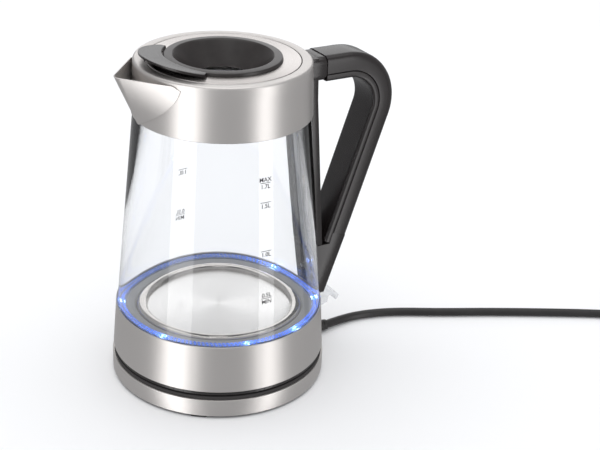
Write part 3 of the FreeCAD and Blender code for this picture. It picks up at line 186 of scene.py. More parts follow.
def bridge(shape: bmesh.types.BMesh, loops: Sequence[Sequence[bmesh.types.BMVert]], closed: bool) -> None:
    """Join neighbouring loops of vertices with faces.

    Args:
        shape: the bmesh that holds them.
        loops: loops with the same number of vertices; a loop of one vertex is a pole.
        closed: whether each loop joins its own end.
    """
    for near, far in zip(loops, loops[1:]):
        count = max(len(near), len(far))
        for index in range(count if closed else count - 1):
            after = (index + 1) % count
            ring = (near[index % len(near)], near[after % len(near)],
                    far[after % len(far)], far[index % len(far)])
            corners = list(dict.fromkeys(ring))
            if len(corners) > 2:
                shape.faces.new(corners)


def lathe(profile: Sequence[Vector], closed: bool = True, steps: int = TURN_STEPS) -> bmesh.types.BMesh:
    """Turn a profile about the Z axis.

    Args:
        profile: points (radius, height).
        closed: whether the profile is a loop; an open one begins and ends on the axis.
        steps: facets of the full turn.

    Returns:
        The turned shape.
    """
    shape = bmesh.new()
    loops = []
    for point in profile:
        count = steps if point.x > TOUCHING else 1      # a point on the axis is a pole
        turns = (2 * math.pi * step / steps for step in range(count))
        loops.append([shape.verts.new(polar(point.x, turn, point.y)) for turn in turns])
    bridge(shape, loops + loops[:1] if closed else loops, closed=True)
    return shape


def loft(sections: Sequence[Sequence[Vector]], caps: bool = True) -> bmesh.types.BMesh:
    """Skin closed sections that follow each other.

    Args:
        sections: loops of points with the same count.
        caps: whether the first and last sections are closed with a face.

    Returns:
        The skinned shape.
    """
    shape = bmesh.new()
    loops = [[shape.verts.new(point) for point in section] for section in sections]
    bridge(shape, loops, closed=True)
    if caps:
        shape.faces.new(loops[0][::-1])
        shape.faces.new(loops[-1])
    return shape


def sheet_grid(rows: int, columns: int, place: Callable[[int, int], Vector],
               missing: Callable[[int, int], bool] = lambda row, column: False,
               wraps: bool = False) -> bmesh.types.BMesh:
    """Build a single surface on a grid, with cells left out where it is open.

    Args:
        rows: cells in the first direction.
        columns: cells in the second direction.
        place: position of a grid point from its row and column.
        missing: whether the cell at a row and column is left out.
        wraps: whether the last column joins the first.

    Returns:
        The surface, with no loose points.
    """
    shape = bmesh.new()
    across = columns if wraps else columns + 1
    grid = [[shape.verts.new(place(row, column)) for column in range(across)] for row in range(rows + 1)]
    for row, (near, far) in enumerate(zip(grid, grid[1:])):
        for column in range(columns):
            after = (column + 1) % across
            if not missing(row, column):
                shape.faces.new([near[column], near[after], far[after], far[column]])
    loose = [vert for vert in shape.verts if not vert.link_faces]
    bmesh.ops.delete(shape, geom=loose, context="VERTS")
    return shape


def polar(radius: float, azimuth: float, height: float) -> Vector:
    """A point from its radius, azimuth in radians and height."""
    return Vector((radius * math.cos(azimuth), radius * math.sin(azimuth), height))


def aimed(shape: bmesh.types.BMesh, start: Vector, heading: Vector) -> bmesh.types.BMesh:
    """Move a shape modelled up the Z axis so that it starts at a point and runs along a heading.

    Args:
        shape: the shape, changed in place.
        start: where its origin goes.
        heading: where its Z axis points.

    Returns:
        The same shape.
    """
    turn = UP.rotation_difference(heading).to_matrix().to_4x4()
    bmesh.ops.transform(shape, matrix=Matrix.Translation(start) @ turn, verts=shape.verts)
    return shape


def thicken(piece: bpy.types.Object, wall: float) -> None:
    """Give a single surface a wall on its inner side.

    Args:
        piece: the surface's object.
        wall: thickness of the wall.
    """
    solid = piece.modifiers.new("wall", "SOLIDIFY")
    solid.thickness = wall
    solid.offset = -1.0
    solid.use_even_offset = True
    solid.use_rim = True
    flatten(piece)


def flatten(piece: bpy.types.Object) -> None:
    """Apply a piece's modifiers to its mesh.

    Args:
        piece: the object.
    """
    bpy.context.view_layer.update()
    evaluated = piece.evaluated_get(bpy.context.evaluated_depsgraph_get())
    mesh = bpy.data.meshes.new_from_object(evaluated)
    old = piece.data
    piece.modifiers.clear()
    piece.data = mesh
    bpy.data.meshes.remove(old)
    mesh.name = piece.name
    shade_smooth(mesh, SOFT_EDGE)


def merged(name: str, pieces: Sequence[bpy.types.Object]) -> bpy.types.Object:
    """One object with the meshes of several, which are removed.

    Args:
        name: the new object's name.
        pieces: what to join; they share one finish.

    Returns:
        The joined object.
    """
    shape = bmesh.new()
    for piece in pieces:
        shape.from_mesh(piece.data)
        bpy.data.objects.remove(piece)
    return finish_mesh(name, shape)


def softened_copy(node: str, name: str, width: float, facets: int = 3) -> bpy.types.Object:
    """Copy a CAD node's mesh and round its edges.

    Args:
        node: the node to copy.
        name: the new object's name.
        width: width of the rounded edges.
        facets: facets of each rounded edge.

    Returns:
        The new object.
    """
    shape = bmesh.new()
    shape.from_mesh(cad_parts[node].data)
    bmesh.ops.remove_doubles(shape, verts=shape.verts, dist=CAD_TOUCHING)
    bmesh.ops.dissolve_limit(shape, angle_limit=FLAT_WITHIN, verts=shape.verts, edges=shape.edges)
    made = finish_mesh(name, shape)
    soft = made.modifiers.new("soft", "BEVEL")
    soft.width = width
    soft.segments = facets
    soft.limit_method = "ANGLE"
    soft.angle_limit = BEVEL_FROM
    flatten(made)
    return made


# ---------------------------------------------------------------- materials
Socket = bpy.types.NodeSocket
Colour = tuple[float, float, float]


class Graph:
    """Short-hand for filling a node tree."""

    def __init__(self, tree: bpy.types.NodeTree) -> None:
        """Keep the tree to fill."""
        self.tree = tree

    def feed(self, node: bpy.types.Node, **inputs: object) -> None:
        """Set a node's inputs or link sockets to them.

        Args:
            node: the node.
            inputs: values or sockets by the input's name, with spaces as underscores, or by in0, in1, …
        """
        for key, value in inputs.items():
            by_place = key.startswith("in") and key[2:].isdigit()
            socket = node.inputs[int(key[2:])] if by_place else node.inputs[key.replace("_", " ")]
            if isinstance(value, Socket):
                self.tree.links.new(value, socket)
            else:
                socket.default_value = value

    def add(self, kind: str, settings: dict[str, str] | None = None, **inputs: object) -> bpy.types.Node:
        """Add a node.

        Args:
            kind: the node's type, without a prefix if it is a shader node.
            settings: properties of the node.
            inputs: values or sockets for its inputs, as feed takes them.

        Returns:
            The new node.
        """
        full = kind.startswith(("Geometry", "NodeGroup"))
        node = self.tree.nodes.new(kind if full else "ShaderNode" + kind)
        for key, value in (settings or {}).items():
            setattr(node, key, value)
        self.feed(node, **inputs)
        return node

    def maths(self, operation: str, first: object, second: object = 0.0) -> Socket:
        """One arithmetic step on two numbers or sockets."""
        return self.add("Math", {"operation": operation}, in0=first, in1=second).outputs[0]

    def vector(self, operation: str, first: object, second: object = (0.0, 0.0, 0.0)) -> Socket:
        """One step on two vectors or sockets."""
        return self.add("VectorMath", {"operation": operation}, in0=first, in1=second).outputs[0]

    def scaled(self, vector: object, factor: object) -> Socket:
        """A vector times a number."""
        return self.add("VectorMath", {"operation": "SCALE"}, in0=vector, Scale=factor).outputs[0]


class Nodes(Graph):
    """Short-hand for one material's node tree."""

    def __init__(self, name: str) -> None:
        """Start an empty tree with a Principled shader on its output."""
        self.material = bpy.data.materials.new(name)
        self.material.use_nodes = True
        super().__init__(self.material.node_tree)
        self.tree.nodes.clear()
        self.output = self.add("OutputMaterial")
        self.shader = self.add("BsdfPrincipled")
        self.feed(self.output, Surface=self.shader.outputs["BSDF"])

    def position(self) -> Socket:
        """Where the surface is, in metres."""
        return self.add("TexCoord").outputs["Object"]

    def noise(self, vector: Socket, scale: float, detail: float = 3.0) -> Socket:
        """A soft random value between about 0.2 and 0.8."""
        return self.add("TexNoise", Vector=vector, Scale=scale, Detail=detail, Roughness=0.6).outputs["Fac"]

    def spread(self, value: Socket, low: float, high: float) -> Socket:
        """Stretch a random value to a range."""
        node = self.add("MapRange", Value=value, From_Min=0.25, From_Max=0.75, To_Min=low, To_Max=high)
        return node.outputs[0]

    def around(self, value: Socket, middle: float, least: float, most: float) -> Socket:
        """A value around a middle one, from and to a share of it, by a random value."""
        return self.spread(value, middle * least, middle * most)

    def tints(self, value: Socket, colour: Colour, darkest: float, lightest: float = 1.0) -> Socket:
        """A darker or lighter version of a colour, by a random value."""
        ramp = self.add("ValToRGB", Fac=value)
        ends = ((0.3, darkest), (0.7, lightest))
        for element, (position, factor) in zip(ramp.color_ramp.elements, ends):
            element.position = position
            element.color = (*(min(part * factor, 1.0) for part in colour), 1.0)
        return ramp.outputs["Color"]

    def roughen(self, height: Socket, depth: float, strength: float) -> None:
        """Drive the shader's normal by a height, with its depth in metres."""
        self.set(Normal=self.add("Bump", Height=height, Distance=depth, Strength=strength).outputs["Normal"])

    def set(self, **values: object) -> None:
        """Set the shader's inputs to constants or link sockets to them."""
        self.feed(self.shader, **values)


@dataclass(frozen=True)
class Finish:
    """What all finishes share: a name and one material made on first use."""

    name: str
    colour: Colour

    def material(self) -> bpy.types.Material:
        """The finish's material, built once."""
        if self.name in bpy.data.materials:
            return bpy.data.materials[self.name]
        nodes = Nodes(self.name)
        self.build(nodes)
        return nodes.material

    def build(self, nodes: Nodes) -> None:
        """Fill in the material's nodes.

        Args:
            nodes: the tree to fill.
        """
        raise NotImplementedError


@dataclass(frozen=True)
class BrushedSteel(Finish):
    """Stainless steel with fine brush lines around the centre line."""

    roughness: float = 0.27
    stretch: float = 0.75
    line: float = 0.35 * MM
    depth: float = 0.012 * MM
    streak_reach: float = 0.9       # how quickly a line changes on its way around
    cone: float = 1.4               # keeps the lines apart on walls and on flat discs alike
    fine_share: float = 0.7
    broad_width: float = 9.0        # width of a broad streak, in fine lines

    def build(self, nodes: Nodes) -> None:
        """Streaks follow circles about Z, on walls and on flat discs alike."""
        place = nodes.add("SeparateXYZ", Vector=nodes.position())
        x, y, z = (place.outputs[axis] for axis in "XYZ")
        squares = (nodes.maths("MULTIPLY", axis, axis) for axis in (x, y))
        radius = nodes.maths("SQRT", nodes.maths("ADD", *squares))
        across = nodes.maths("ADD", nodes.maths("MULTIPLY", radius, self.cone), z)
        circle = nodes.add("CombineXYZ", X=nodes.maths("DIVIDE", x, radius),
                           Y=nodes.maths("DIVIDE", y, radius))
        ring = nodes.scaled(circle.outputs[0], self.streak_reach)

        def streaks(width: float, detail: float) -> Socket:
            """Noise that is long around the centre line and narrow across it."""
            lines = nodes.add("CombineXYZ", Z=nodes.maths("DIVIDE", across, width))
            return nodes.noise(nodes.vector("ADD", ring, lines.outputs[0]), 1.0, detail)

        fine = streaks(self.line, 4.0)
        broad = streaks(self.line * self.broad_width, 2.0)
        both = nodes.maths("ADD", nodes.maths("MULTIPLY", fine, self.fine_share),
                           nodes.maths("MULTIPLY", broad, 1 - self.fine_share))
        along = nodes.add(
            "VectorTransform", {"vector_type": "VECTOR", "convert_from": "OBJECT", "convert_to": "WORLD"},
            Vector=nodes.vector("CROSS_PRODUCT", tuple(UP), nodes.position()))
        nodes.set(
            Base_Color=nodes.tints(both, self.colour, 0.9, 1.06), Metallic=1.0,
            Roughness=nodes.around(both, self.roughness, 0.85, 1.15), Anisotropic=self.stretch,
            Anisotropic_Rotation=0.25, Tangent=nodes.vector("NORMALIZE", along.outputs[0]))
        nodes.roughen(fine, self.depth, 0.5)


@dataclass(frozen=True)
class PolishedMetal(Finish):
    """Bright metal with faint rubbing marks."""

    roughness: float = 0.12

    def build(self, nodes: Nodes) -> None:
        """A little unevenness in colour and roughness keeps it from looking like a mirror."""
        marks = nodes.noise(nodes.position(), 420.0, 5.0)
        nodes.set(Base_Color=nodes.tints(marks, self.colour, 0.9), Metallic=1.0,
                  Roughness=nodes.around(marks, self.roughness, 0.7, 1.4))
        nodes.roughen(marks, 0.02 * MM, 0.25)


@dataclass(frozen=True)
class Moulding(Finish):
    """Moulded plastic or rubber, from matt to gloss, with a fine grain."""

    roughness: float = 0.4
    coat: float = 0.0
    grain: float = 0.5 * MM
    depth: float = 0.015 * MM
    shine: float = 0.5

    def build(self, nodes: Nodes) -> None:
        """Grain in the normal, slow drift in colour and roughness."""
        place = nodes.position()
        grain = nodes.noise(place, 1.0 / self.grain, 3.0)
        drift = nodes.noise(place, 55.0, 3.0)
        nodes.set(
            Base_Color=nodes.tints(drift, self.colour, 0.82, 1.2),
            Roughness=nodes.around(drift, self.roughness, 0.9, 1.12),
            Coat_Weight=self.coat, Coat_Roughness=0.06, Specular_IOR_Level=self.shine)
        nodes.roughen(grain, self.depth, 0.6)


@dataclass(frozen=True)
class CastMetal(Finish):
    """Bare cast or plated metal with an open grain."""

    roughness: float = 0.4
    grain: float = 0.8 * MM

    def build(self, nodes: Nodes) -> None:
        """Grain in colour, roughness and normal."""
        grain = nodes.noise(nodes.position(), 1.0 / self.grain, 5.0)
        nodes.set(Base_Color=nodes.tints(grain, self.colour, 0.8, 1.1), Metallic=1.0,
                  Roughness=nodes.around(grain, self.roughness, 0.8, 1.2))
        nodes.roughen(grain, 0.03 * MM, 0.5)


@dataclass(frozen=True)
class ClearWall(Finish):
    """Glass or clear plastic that lets lamps through."""

    bend: float = 1.47
    roughness: float = 0.0
    passed: Colour = (0.93, 0.95, 0.97)
    ripple: float = 0.01 * MM

    def build(self, nodes: Nodes) -> None:
        """A refracting wall, swapped for a plain tint where light from the lamps passes it."""
        ripple = nodes.noise(nodes.position(), 35.0, 2.0)
        nodes.set(Base_Color=nodes.tints(ripple, self.colour, 0.995), Transmission_Weight=1.0,
                  IOR=self.bend, Roughness=self.roughness)
        nodes.roughen(ripple, self.ripple, 0.4)
        lamp = nodes.add("LightPath").outputs["Is Shadow Ray"]
        clear = nodes.add("BsdfTransparent", Color=(*self.passed, 1.0))
        mix = nodes.add("MixShader", Fac=lamp, in1=nodes.shader.outputs[0], in2=clear.outputs[0])
        nodes.feed(nodes.output, Surface=mix.outputs[0])


@dataclass(frozen=True)
class GlowingPlastic(Finish):
    """Clear plastic lit from inside, brightest beside its lamps."""

    glow: Colour = (0.16, 0.34, 1.0)
    strength: float = 0.03
    roughness: float = 0.12
    lamp_azimuths: tuple[float, ...] = ()
    lamp_spread: float = 0.09
    between: float = 0.16           # glow far from any lamp, as a share of the glow beside one

    def build(self, nodes: Nodes) -> None:
        """The glow falls off with the angle from each lamp."""
        speck = nodes.noise(nodes.position(), 260.0, 3.0)
        total: object = self.between
        way = nodes.vector("NORMALIZE", nodes.vector("MULTIPLY", nodes.position(), (1.0, 1.0, 0.0)))
        width = self.lamp_spread ** 2
        for azimuth in self.lamp_azimuths:
            apart = nodes.vector("SUBTRACT", way, tuple(polar(1.0, azimuth, 0.0)))
            square = nodes.add("VectorMath", {"operation": "DOT_PRODUCT"}, in0=apart, in1=apart)
            spread = nodes.maths("ADD", square.outputs["Value"], width)
            total = nodes.maths("ADD", total, nodes.maths("DIVIDE", width, spread))
        light = nodes.maths("MULTIPLY", total, nodes.spread(speck, 0.6, 1.4))
        nodes.set(
            Base_Color=nodes.tints(speck, self.colour, 0.9), Transmission_Weight=0.75,
            Roughness=self.roughness, IOR=1.49, Emission_Color=nodes.scaled(self.glow, light),
            Emission_Strength=self.strength)
        nodes.roughen(speck, 0.05 * MM, 0.5)


@dataclass(frozen=True)
class Print(Finish):
    """Ink fired on to the glass."""

    def build(self, nodes: Nodes) -> None:
        """Slightly uneven ink."""
        speck = nodes.noise(nodes.position(), 900.0, 3.0)
        nodes.set(Base_Color=nodes.tints(speck, self.colour, 0.8, 1.3), Roughness=0.55)


STEEL = BrushedSteel("brushed_steel", (0.62, 0.585, 0.565), roughness=0.14, stretch=0.9)
LID_STEEL = BrushedSteel("lid_steel", (0.62, 0.585, 0.565), roughness=0.26, stretch=0.85)
PLATE_STEEL = BrushedSteel("spun_steel", (0.76, 0.745, 0.73), roughness=0.24, stretch=0.85, line=0.25 * MM)
BEAD_STEEL = PolishedMetal("polished_steel", (0.66, 0.63, 0.60), roughness=0.14)
NET_STEEL = PolishedMetal("etched_steel", (0.5, 0.48, 0.46), roughness=0.3)
BRASS = PolishedMetal("brass", (0.80, 0.60, 0.28), roughness=0.22)
ZINC = PolishedMetal("zinc_plate", (0.62, 0.62, 0.60), roughness=0.3)
ALUMINIUM = CastMetal("cast_aluminium", (0.60, 0.60, 0.60))
GLOSS_BLACK = Moulding(
    "gloss_black", (0.011, 0.006, 0.005), roughness=0.15, coat=0.3, depth=0.002 * MM, shine=0.4)
SATIN_BLACK = Moulding("satin_black", (0.020, 0.014, 0.013), roughness=0.3, coat=0.25, depth=0.006 * MM)
RING_BLACK = Moulding("ring_black", (0.026, 0.021, 0.020), roughness=0.34, depth=0.008 * MM)
EDGE_BLACK = Moulding("edge_black", (0.018, 0.015, 0.015), roughness=0.3, coat=0.2, depth=0.006 * MM)
MATT_BLACK = Moulding("matt_black", (0.022, 0.020, 0.020), roughness=0.55, depth=0.03 * MM)
RUBBER = Moulding("foot_rubber", (0.020, 0.020, 0.020), roughness=0.75, depth=0.05 * MM)
CORD_SHEATH = Moulding("cord_sheath", (0.020, 0.018, 0.018), roughness=0.42, grain=0.35 * MM, depth=0.02 * MM)
TIE_STRAP = Moulding("tie_strap", (0.035, 0.035, 0.036), roughness=0.8, grain=0.25 * MM, depth=0.08 * MM)
WIRE_SLEEVE = Moulding("wire_sleeve", (0.36, 0.10, 0.05), roughness=0.5)
SILICONE = Moulding("silicone", (0.30, 0.30, 0.31), roughness=0.45, depth=0.02 * MM)
BOARD_GREEN = Moulding("circuit_board", (0.03, 0.13, 0.06), roughness=0.35, grain=0.9 * MM)
GLASS = ClearWall("clear_glass", (0.985, 0.992, 1.0))
CLEAR_PLASTIC = ClearWall("clear_plastic", (0.93, 0.95, 0.97), bend=1.49, roughness=0.06, ripple=0.06 * MM)
INK = Print("mark_ink", (0.05, 0.045, 0.05))


# ---------------------------------------------------------------- repeats by Geometry Nodes
@dataclass(frozen=True)
class RoundArray:
    """Copies of one small piece set around the centre line by Geometry Nodes."""

    count: int
    radius: float
    start: float = 0.0
    sweep: float = 2 * math.pi
    height: float = 0.0
    SOCKETS: ClassVar[dict[str, str]] = {
        "Item": "Object", "Count": "Int", "Radius": "Float", "Start": "Float", "Sweep": "Float",
        "Height": "Float", "Finish": "Material"}

    @classmethod
    def tree(cls) -> bpy.types.NodeTree:
        """The shared node tree, built on first use.

        Returns:
            A tree whose inputs are the array's sizes, the piece to copy and its material.
        """
        if "round_array" in bpy.data.node_groups:
            return bpy.data.node_groups["round_array"]
        tree = bpy.data.node_groups.new("round_array", "GeometryNodeTree")
        tree.interface.new_socket("Geometry", in_out="INPUT", socket_type="NodeSocketGeometry")
        for name, kind in cls.SOCKETS.items():
            tree.interface.new_socket(name, in_out="INPUT", socket_type="NodeSocket" + kind)
        tree.interface.new_socket("Geometry", in_out="OUTPUT", socket_type="NodeSocketGeometry")
        graph = Graph(tree)
        given = graph.add("NodeGroupInput").outputs
        index = graph.add("GeometryNodeInputIndex").outputs[0]
        share = graph.maths("DIVIDE", index, given["Count"])
        angle = graph.maths("ADD", given["Start"], graph.maths("MULTIPLY", share, given["Sweep"]))
        across, along = (
            graph.maths("MULTIPLY", given["Radius"], graph.maths(way, angle)) for way in ("COSINE", "SINE"))
        place = graph.add("CombineXYZ", X=across, Y=along, Z=given["Height"])
        points = graph.add("GeometryNodePoints", Count=given["Count"], Position=place.outputs[0])
        copies = graph.add(
            "GeometryNodeInstanceOnPoints", Points=points.outputs[0],
            Instance=graph.add("GeometryNodeObjectInfo", Object=given["Item"]).outputs["Geometry"],
            Rotation=graph.add("CombineXYZ", Z=angle).outputs[0])
        real = graph.add("GeometryNodeRealizeInstances", Geometry=copies.outputs[0])
        dressed = graph.add("GeometryNodeSetMaterial", Geometry=real.outputs[0], Material=given["Finish"])
        graph.add("NodeGroupOutput", in0=dressed.outputs[0])
        return tree

    def build(self, name: str, item: bpy.types.Object, finish: Finish) -> bpy.types.Object:
        """Run the tree and keep its result as a plain mesh.

        Args:
            name: the new object's name.
            item: the piece to copy, which is removed afterwards.
            finish: the copies' finish.

        Returns:
            One object with every copy.
        """
        tree = self.tree()
        carrier = placed(name, bpy.data.meshes.new(name + "_seed"))
        modifier = carrier.modifiers.new("array", "NODES")
        modifier.node_group = tree
        values = (item, self.count, self.radius, self.start, self.sweep, self.height, finish.material())
        inputs = (entry for entry in tree.interface.items_tree if entry.in_out == "INPUT")
        sockets = {entry.name: entry.identifier for entry in inputs}
        for key, value in zip(self.SOCKETS, values):
            modifier[sockets[key]] = value
        flatten(carrier)
        bpy.data.objects.remove(item)
        return carrier


# ---------------------------------------------------------------- sub-assemblies
@dataclass
class SubAssembly:
    """A group of pieces that ride on one body."""

    body: Body

    def keep(self, piece: bpy.types.Object, finish: Finish, slot: str, *stands_for: str) -> bpy.types.Object:
        """Dress a new piece and put it on its body.

        Args:
            piece: the new piece.
            finish: its finish.
            slot: the record's material slot; not used here.
            stands_for: CAD nodes that it replaces.

        Returns:
            The piece.
        """
        piece.data.materials.clear()
        piece.data.materials.append(finish.material())
        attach(piece, self.body.value)
        if stands_for:
            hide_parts(*stands_for)
        log.info("%s: %s", self.body.value, piece.name)
        return piece

    def turned(self, name: str, corners: Sequence[Corner], finish: Finish, slot: str, *stands_for: str,
               closed: bool = True) -> bpy.types.Object:
        """Turn an outline about the centre line and keep the piece.

        Args:
            name: the new piece's name.
            corners: its outline, as (radius, height).
            finish: its finish.
            slot: the record's material slot.
            stands_for: CAD nodes that it replaces.
            closed: whether the outline is a loop; an open one begins and ends on the axis.

        Returns:
            The piece.
        """
        piece = finish_mesh(name, lathe(outline(corners, closed), closed))
        return self.keep(piece, finish, slot, *stands_for)

    @staticmethod
    def dress(finish: Finish, *nodes: str) -> None:
        """Give CAD nodes a finish and leave their shape as it is."""
        for node in nodes:
            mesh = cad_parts[node].data
            mesh.materials.clear()
            mesh.materials.append(finish.material())
            log.info("%s keeps its shape", node)


@dataclass
class MainsLead(SubAssembly):
    """The boot, the lead with its coil and tie, and the plug."""

    body: Body = Body.BASE
    diameter: float = 6.5 * MM
    boot_length: float = 22.4 * MM
    boot_azimuth: float = math.radians(1.6)
    boot_drop: float = math.radians(4.0)
    boot_root: tuple[float, float] = (76.0 * MM, 6.2 * MM)    # radius and height
    boot_root_radius: float = 5.2 * MM
    boot_end_radius: float = 4.2 * MM
    rib_count: int = 5
    rib_groove: float = 0.45 * MM
    rib_start: float = 0.34            # where the ribs begin and how far apart they are, as shares
    rib_pitch: float = 0.16            # of the boot's length
    lead: tuple[tuple[float, float, float], ...] = (
        (0.1160, 0.0066, 0.0035), (0.1370, 0.0054, 0.00325), (0.1620, -0.0026, 0.00325),
        (0.1940, -0.0200, 0.00325), (0.2290, -0.0368, 0.00325), (0.2660, -0.0561, 0.00325),
        (0.3080, -0.0791, 0.00325), (0.3440, -0.1021, 0.00325), (0.3720, -0.1180, 0.00385))
    tail: tuple[tuple[float, float, float], ...] = (
        (0.3889, -0.1178, 0.0108), (0.4036, -0.1170, 0.0116), (0.4178, -0.1110, 0.0118),
        (0.4304, -0.0992, 0.0113), (0.4410, -0.0832, 0.0104))
    coil_centre: tuple[float, float] = (0.3915, -0.0879)
    coil_outer: float = 36.0 * MM
    coil_inner: float = 29.5 * MM
    coil_level: float = 3.85 * MM
    points_per_turn: int = 18
    inward_from: float = math.radians(225.0)      # turn at which the coil begins to move inward
    climb_from: float = math.radians(575.0)       # turn at which it begins to climb to the tail
    ease_over: float = math.radians(110.0)        # turn that either change takes
    length: float = 0.79
    plug_heading: float = math.radians(58.0)
    plug_sleeve: float = 16.0 * MM
    plug_length: float = 50.0 * MM
    plug_width: float = 47.0 * MM
    sleeve_ribs: int = 7
    plug_steps: int = 22
    section_points: int = 40

    def boot_ends(self) -> tuple[Vector, Vector]:
        """Both ends of the boot's centre line."""
        radius, height = self.boot_root
        root = polar(radius, self.boot_azimuth, height)
        heading = polar(math.cos(self.boot_drop), self.boot_azimuth, -math.sin(self.boot_drop))
        return root, root + heading * self.boot_length

    def coil_points(self) -> list[Vector]:
        """Two turns side by side, the second climbing over itself to the tail."""
        centre = Vector((*self.coil_centre, 0.0))
        entry, leave = Vector(self.lead[-1]) - centre, Vector(self.tail[0]) - centre
        first = math.atan2(entry.y, entry.x)
        last = math.atan2(leave.y, leave.x) + 4 * math.pi
        step = 2 * math.pi / self.points_per_turn
        bulge = 4 / (3 + math.cos(step))     # a control polygon runs outside its curve
        points = []
        count = round((last - first) / step)
        for index in range(1, count):
            turned = (last - first) * index / count
            angle = first + turned
            inward = smooth_step((turned - self.inward_from) / self.ease_over)
            climb = smooth_step((turned - self.climb_from) / self.ease_over)
            radius = self.coil_outer + (self.coil_inner - self.coil_outer) * inward
            height = self.coil_level + (self.tail[0][2] - self.coil_level) * climb
            points.append(centre + polar(radius * bulge, angle, height))
        return points

    def build(self) -> None:
        """Make the boot, the lead, the plug and the tie."""
        root, end = self.boot_ends()
        boot = self.make_boot(root, end)
        curve = bpy.data.curves.new("mains_lead", "CURVE")
        curve.dimensions = "3D"
        curve.bevel_depth = self.diameter / 2
        curve.bevel_resolution = 5
        curve.resolution_u = 6
        curve.use_fill_caps = True
        points = [end, *map(Vector, self.lead), *self.coil_points(), *map(Vector, self.tail)]
        spline = curve.splines.new("NURBS")
        spline.points.add(len(points) - 1)
        for knot, point in zip(spline.points, points):
            knot.co = (*point, 1.0)
        spline.order_u = 3
        spline.use_endpoint_u = True
        lead = self.keep(placed("mains_lead", curve), CORD_SHEATH, "cord_black", "cord_lead", "cord_coil",
                         "cord_tail")
        plug = self.make_plug()
        self.dress(BRASS, "plug_pins")
        tie = softened_copy("cord_tie", "cord_tie_strap", 0.2 * MM, 2)
        self.keep(tie, TIE_STRAP, "tie_black", "cord_tie")

    def make_boot(self, root: Vector, end: Vector) -> bpy.types.Object:
        """The tapered strain relief with its ribs.

        Args:
            root: centre of its root, inside the base.
            end: where the lead leaves it.

        Returns:
            The boot.
        """
        length = (end - root).length
        corners = [Corner(0.0, 0.0), Corner(self.boot_root_radius, 0.0)]
        for rib in range(self.rib_count - 1):
            for part, depth in ((0.0, 0.0), (0.066, 1.0), (0.209, 1.0), (0.275, 0.0)):
                share = self.rib_start + self.rib_pitch * (rib + part)
                radius = self.boot_root_radius + (self.boot_end_radius - self.boot_root_radius) * share
                corners.append(Corner(radius - self.rib_groove * depth, length * share, 0.3 * MM))
        corners += [Corner(self.boot_end_radius, length, 0.5 * MM), Corner(0.0, length)]
        shape = aimed(lathe(outline(corners, closed=False), closed=False, steps=48), root, end - root)
        boot = finish_mesh("cord_relief", shape)
        return self.keep(boot, CORD_SHEATH, "cord_black", "cord_boot")

    def make_plug(self) -> bpy.types.Object:
        """The moulded plug, waisted for the fingers, with a ribbed sleeve.

        Returns:
            The plug's body.
        """
        half = Span.of("plug_body").high.z / 2
        x, y, middle = self.tail[-1]
        sections = []
        for index in range(2 * self.sleeve_ribs):
            share = index / (2 * self.sleeve_ribs)
            radius = self.diameter / 2 + 0.9 * MM + 2.2 * MM * share - 0.35 * MM * (index % 2)
            sections.append(self.plug_section(self.plug_sleeve * share, radius, radius, middle, 1.0))
        for index in range(self.plug_steps + 1):
            share = index / self.plug_steps
            ends = math.sin(math.pi * (share * 0.94 + 0.045)) ** 0.28       # rounds both ends off
            waist = 1.0 - 0.07 * math.exp(-((share - 0.36) / 0.16) ** 2)    # where the fingers hold it
            half_width = self.plug_width / 2 * (0.52 + 0.48 * ends) * waist * (0.9 + 0.1 * share)
            along = self.plug_sleeve + self.plug_length * share
            sections.append(self.plug_section(along, half_width, half * (0.72 + 0.28 * ends), half, 0.32))
        shape = loft(sections)
        place = Matrix.Translation(Vector((x, y, 0.0))) @ Matrix.Rotation(self.plug_heading, 4, "Z")
        bmesh.ops.transform(shape, matrix=place, verts=shape.verts)
        return self.keep(finish_mesh("mains_plug", shape), CORD_SHEATH, "cord_black", "plug_body")

    def plug_section(self, along: float, half_width: float, half_height: float, middle: float,
                     roundness: float) -> list[Vector]:
        """One section across the plug.

        Args:
            along: distance from the lead's end.
            half_width: half its width.
            half_height: half its height.
            middle: height of its centre.
            roundness: 1 for an ellipse, towards 0 for a box.

        Returns:
            Its points.
        """
        power = 0.35 + 0.65 * roundness
        points = []
        for step in range(self.section_points):
            angle = 2 * math.pi * step / self.section_points
            across, up = (math.copysign(abs(way) ** power, way) for way in (math.cos(angle), math.sin(angle)))
            points.append(Vector((along, half_width * across, middle + half_height * up)))
        return points


def smooth_step(share: float) -> float:
    """Ease from 0 to 1 as share does."""
    held = min(max(share, 0.0), 1.0)
    return held * held * (3 - 2 * held)


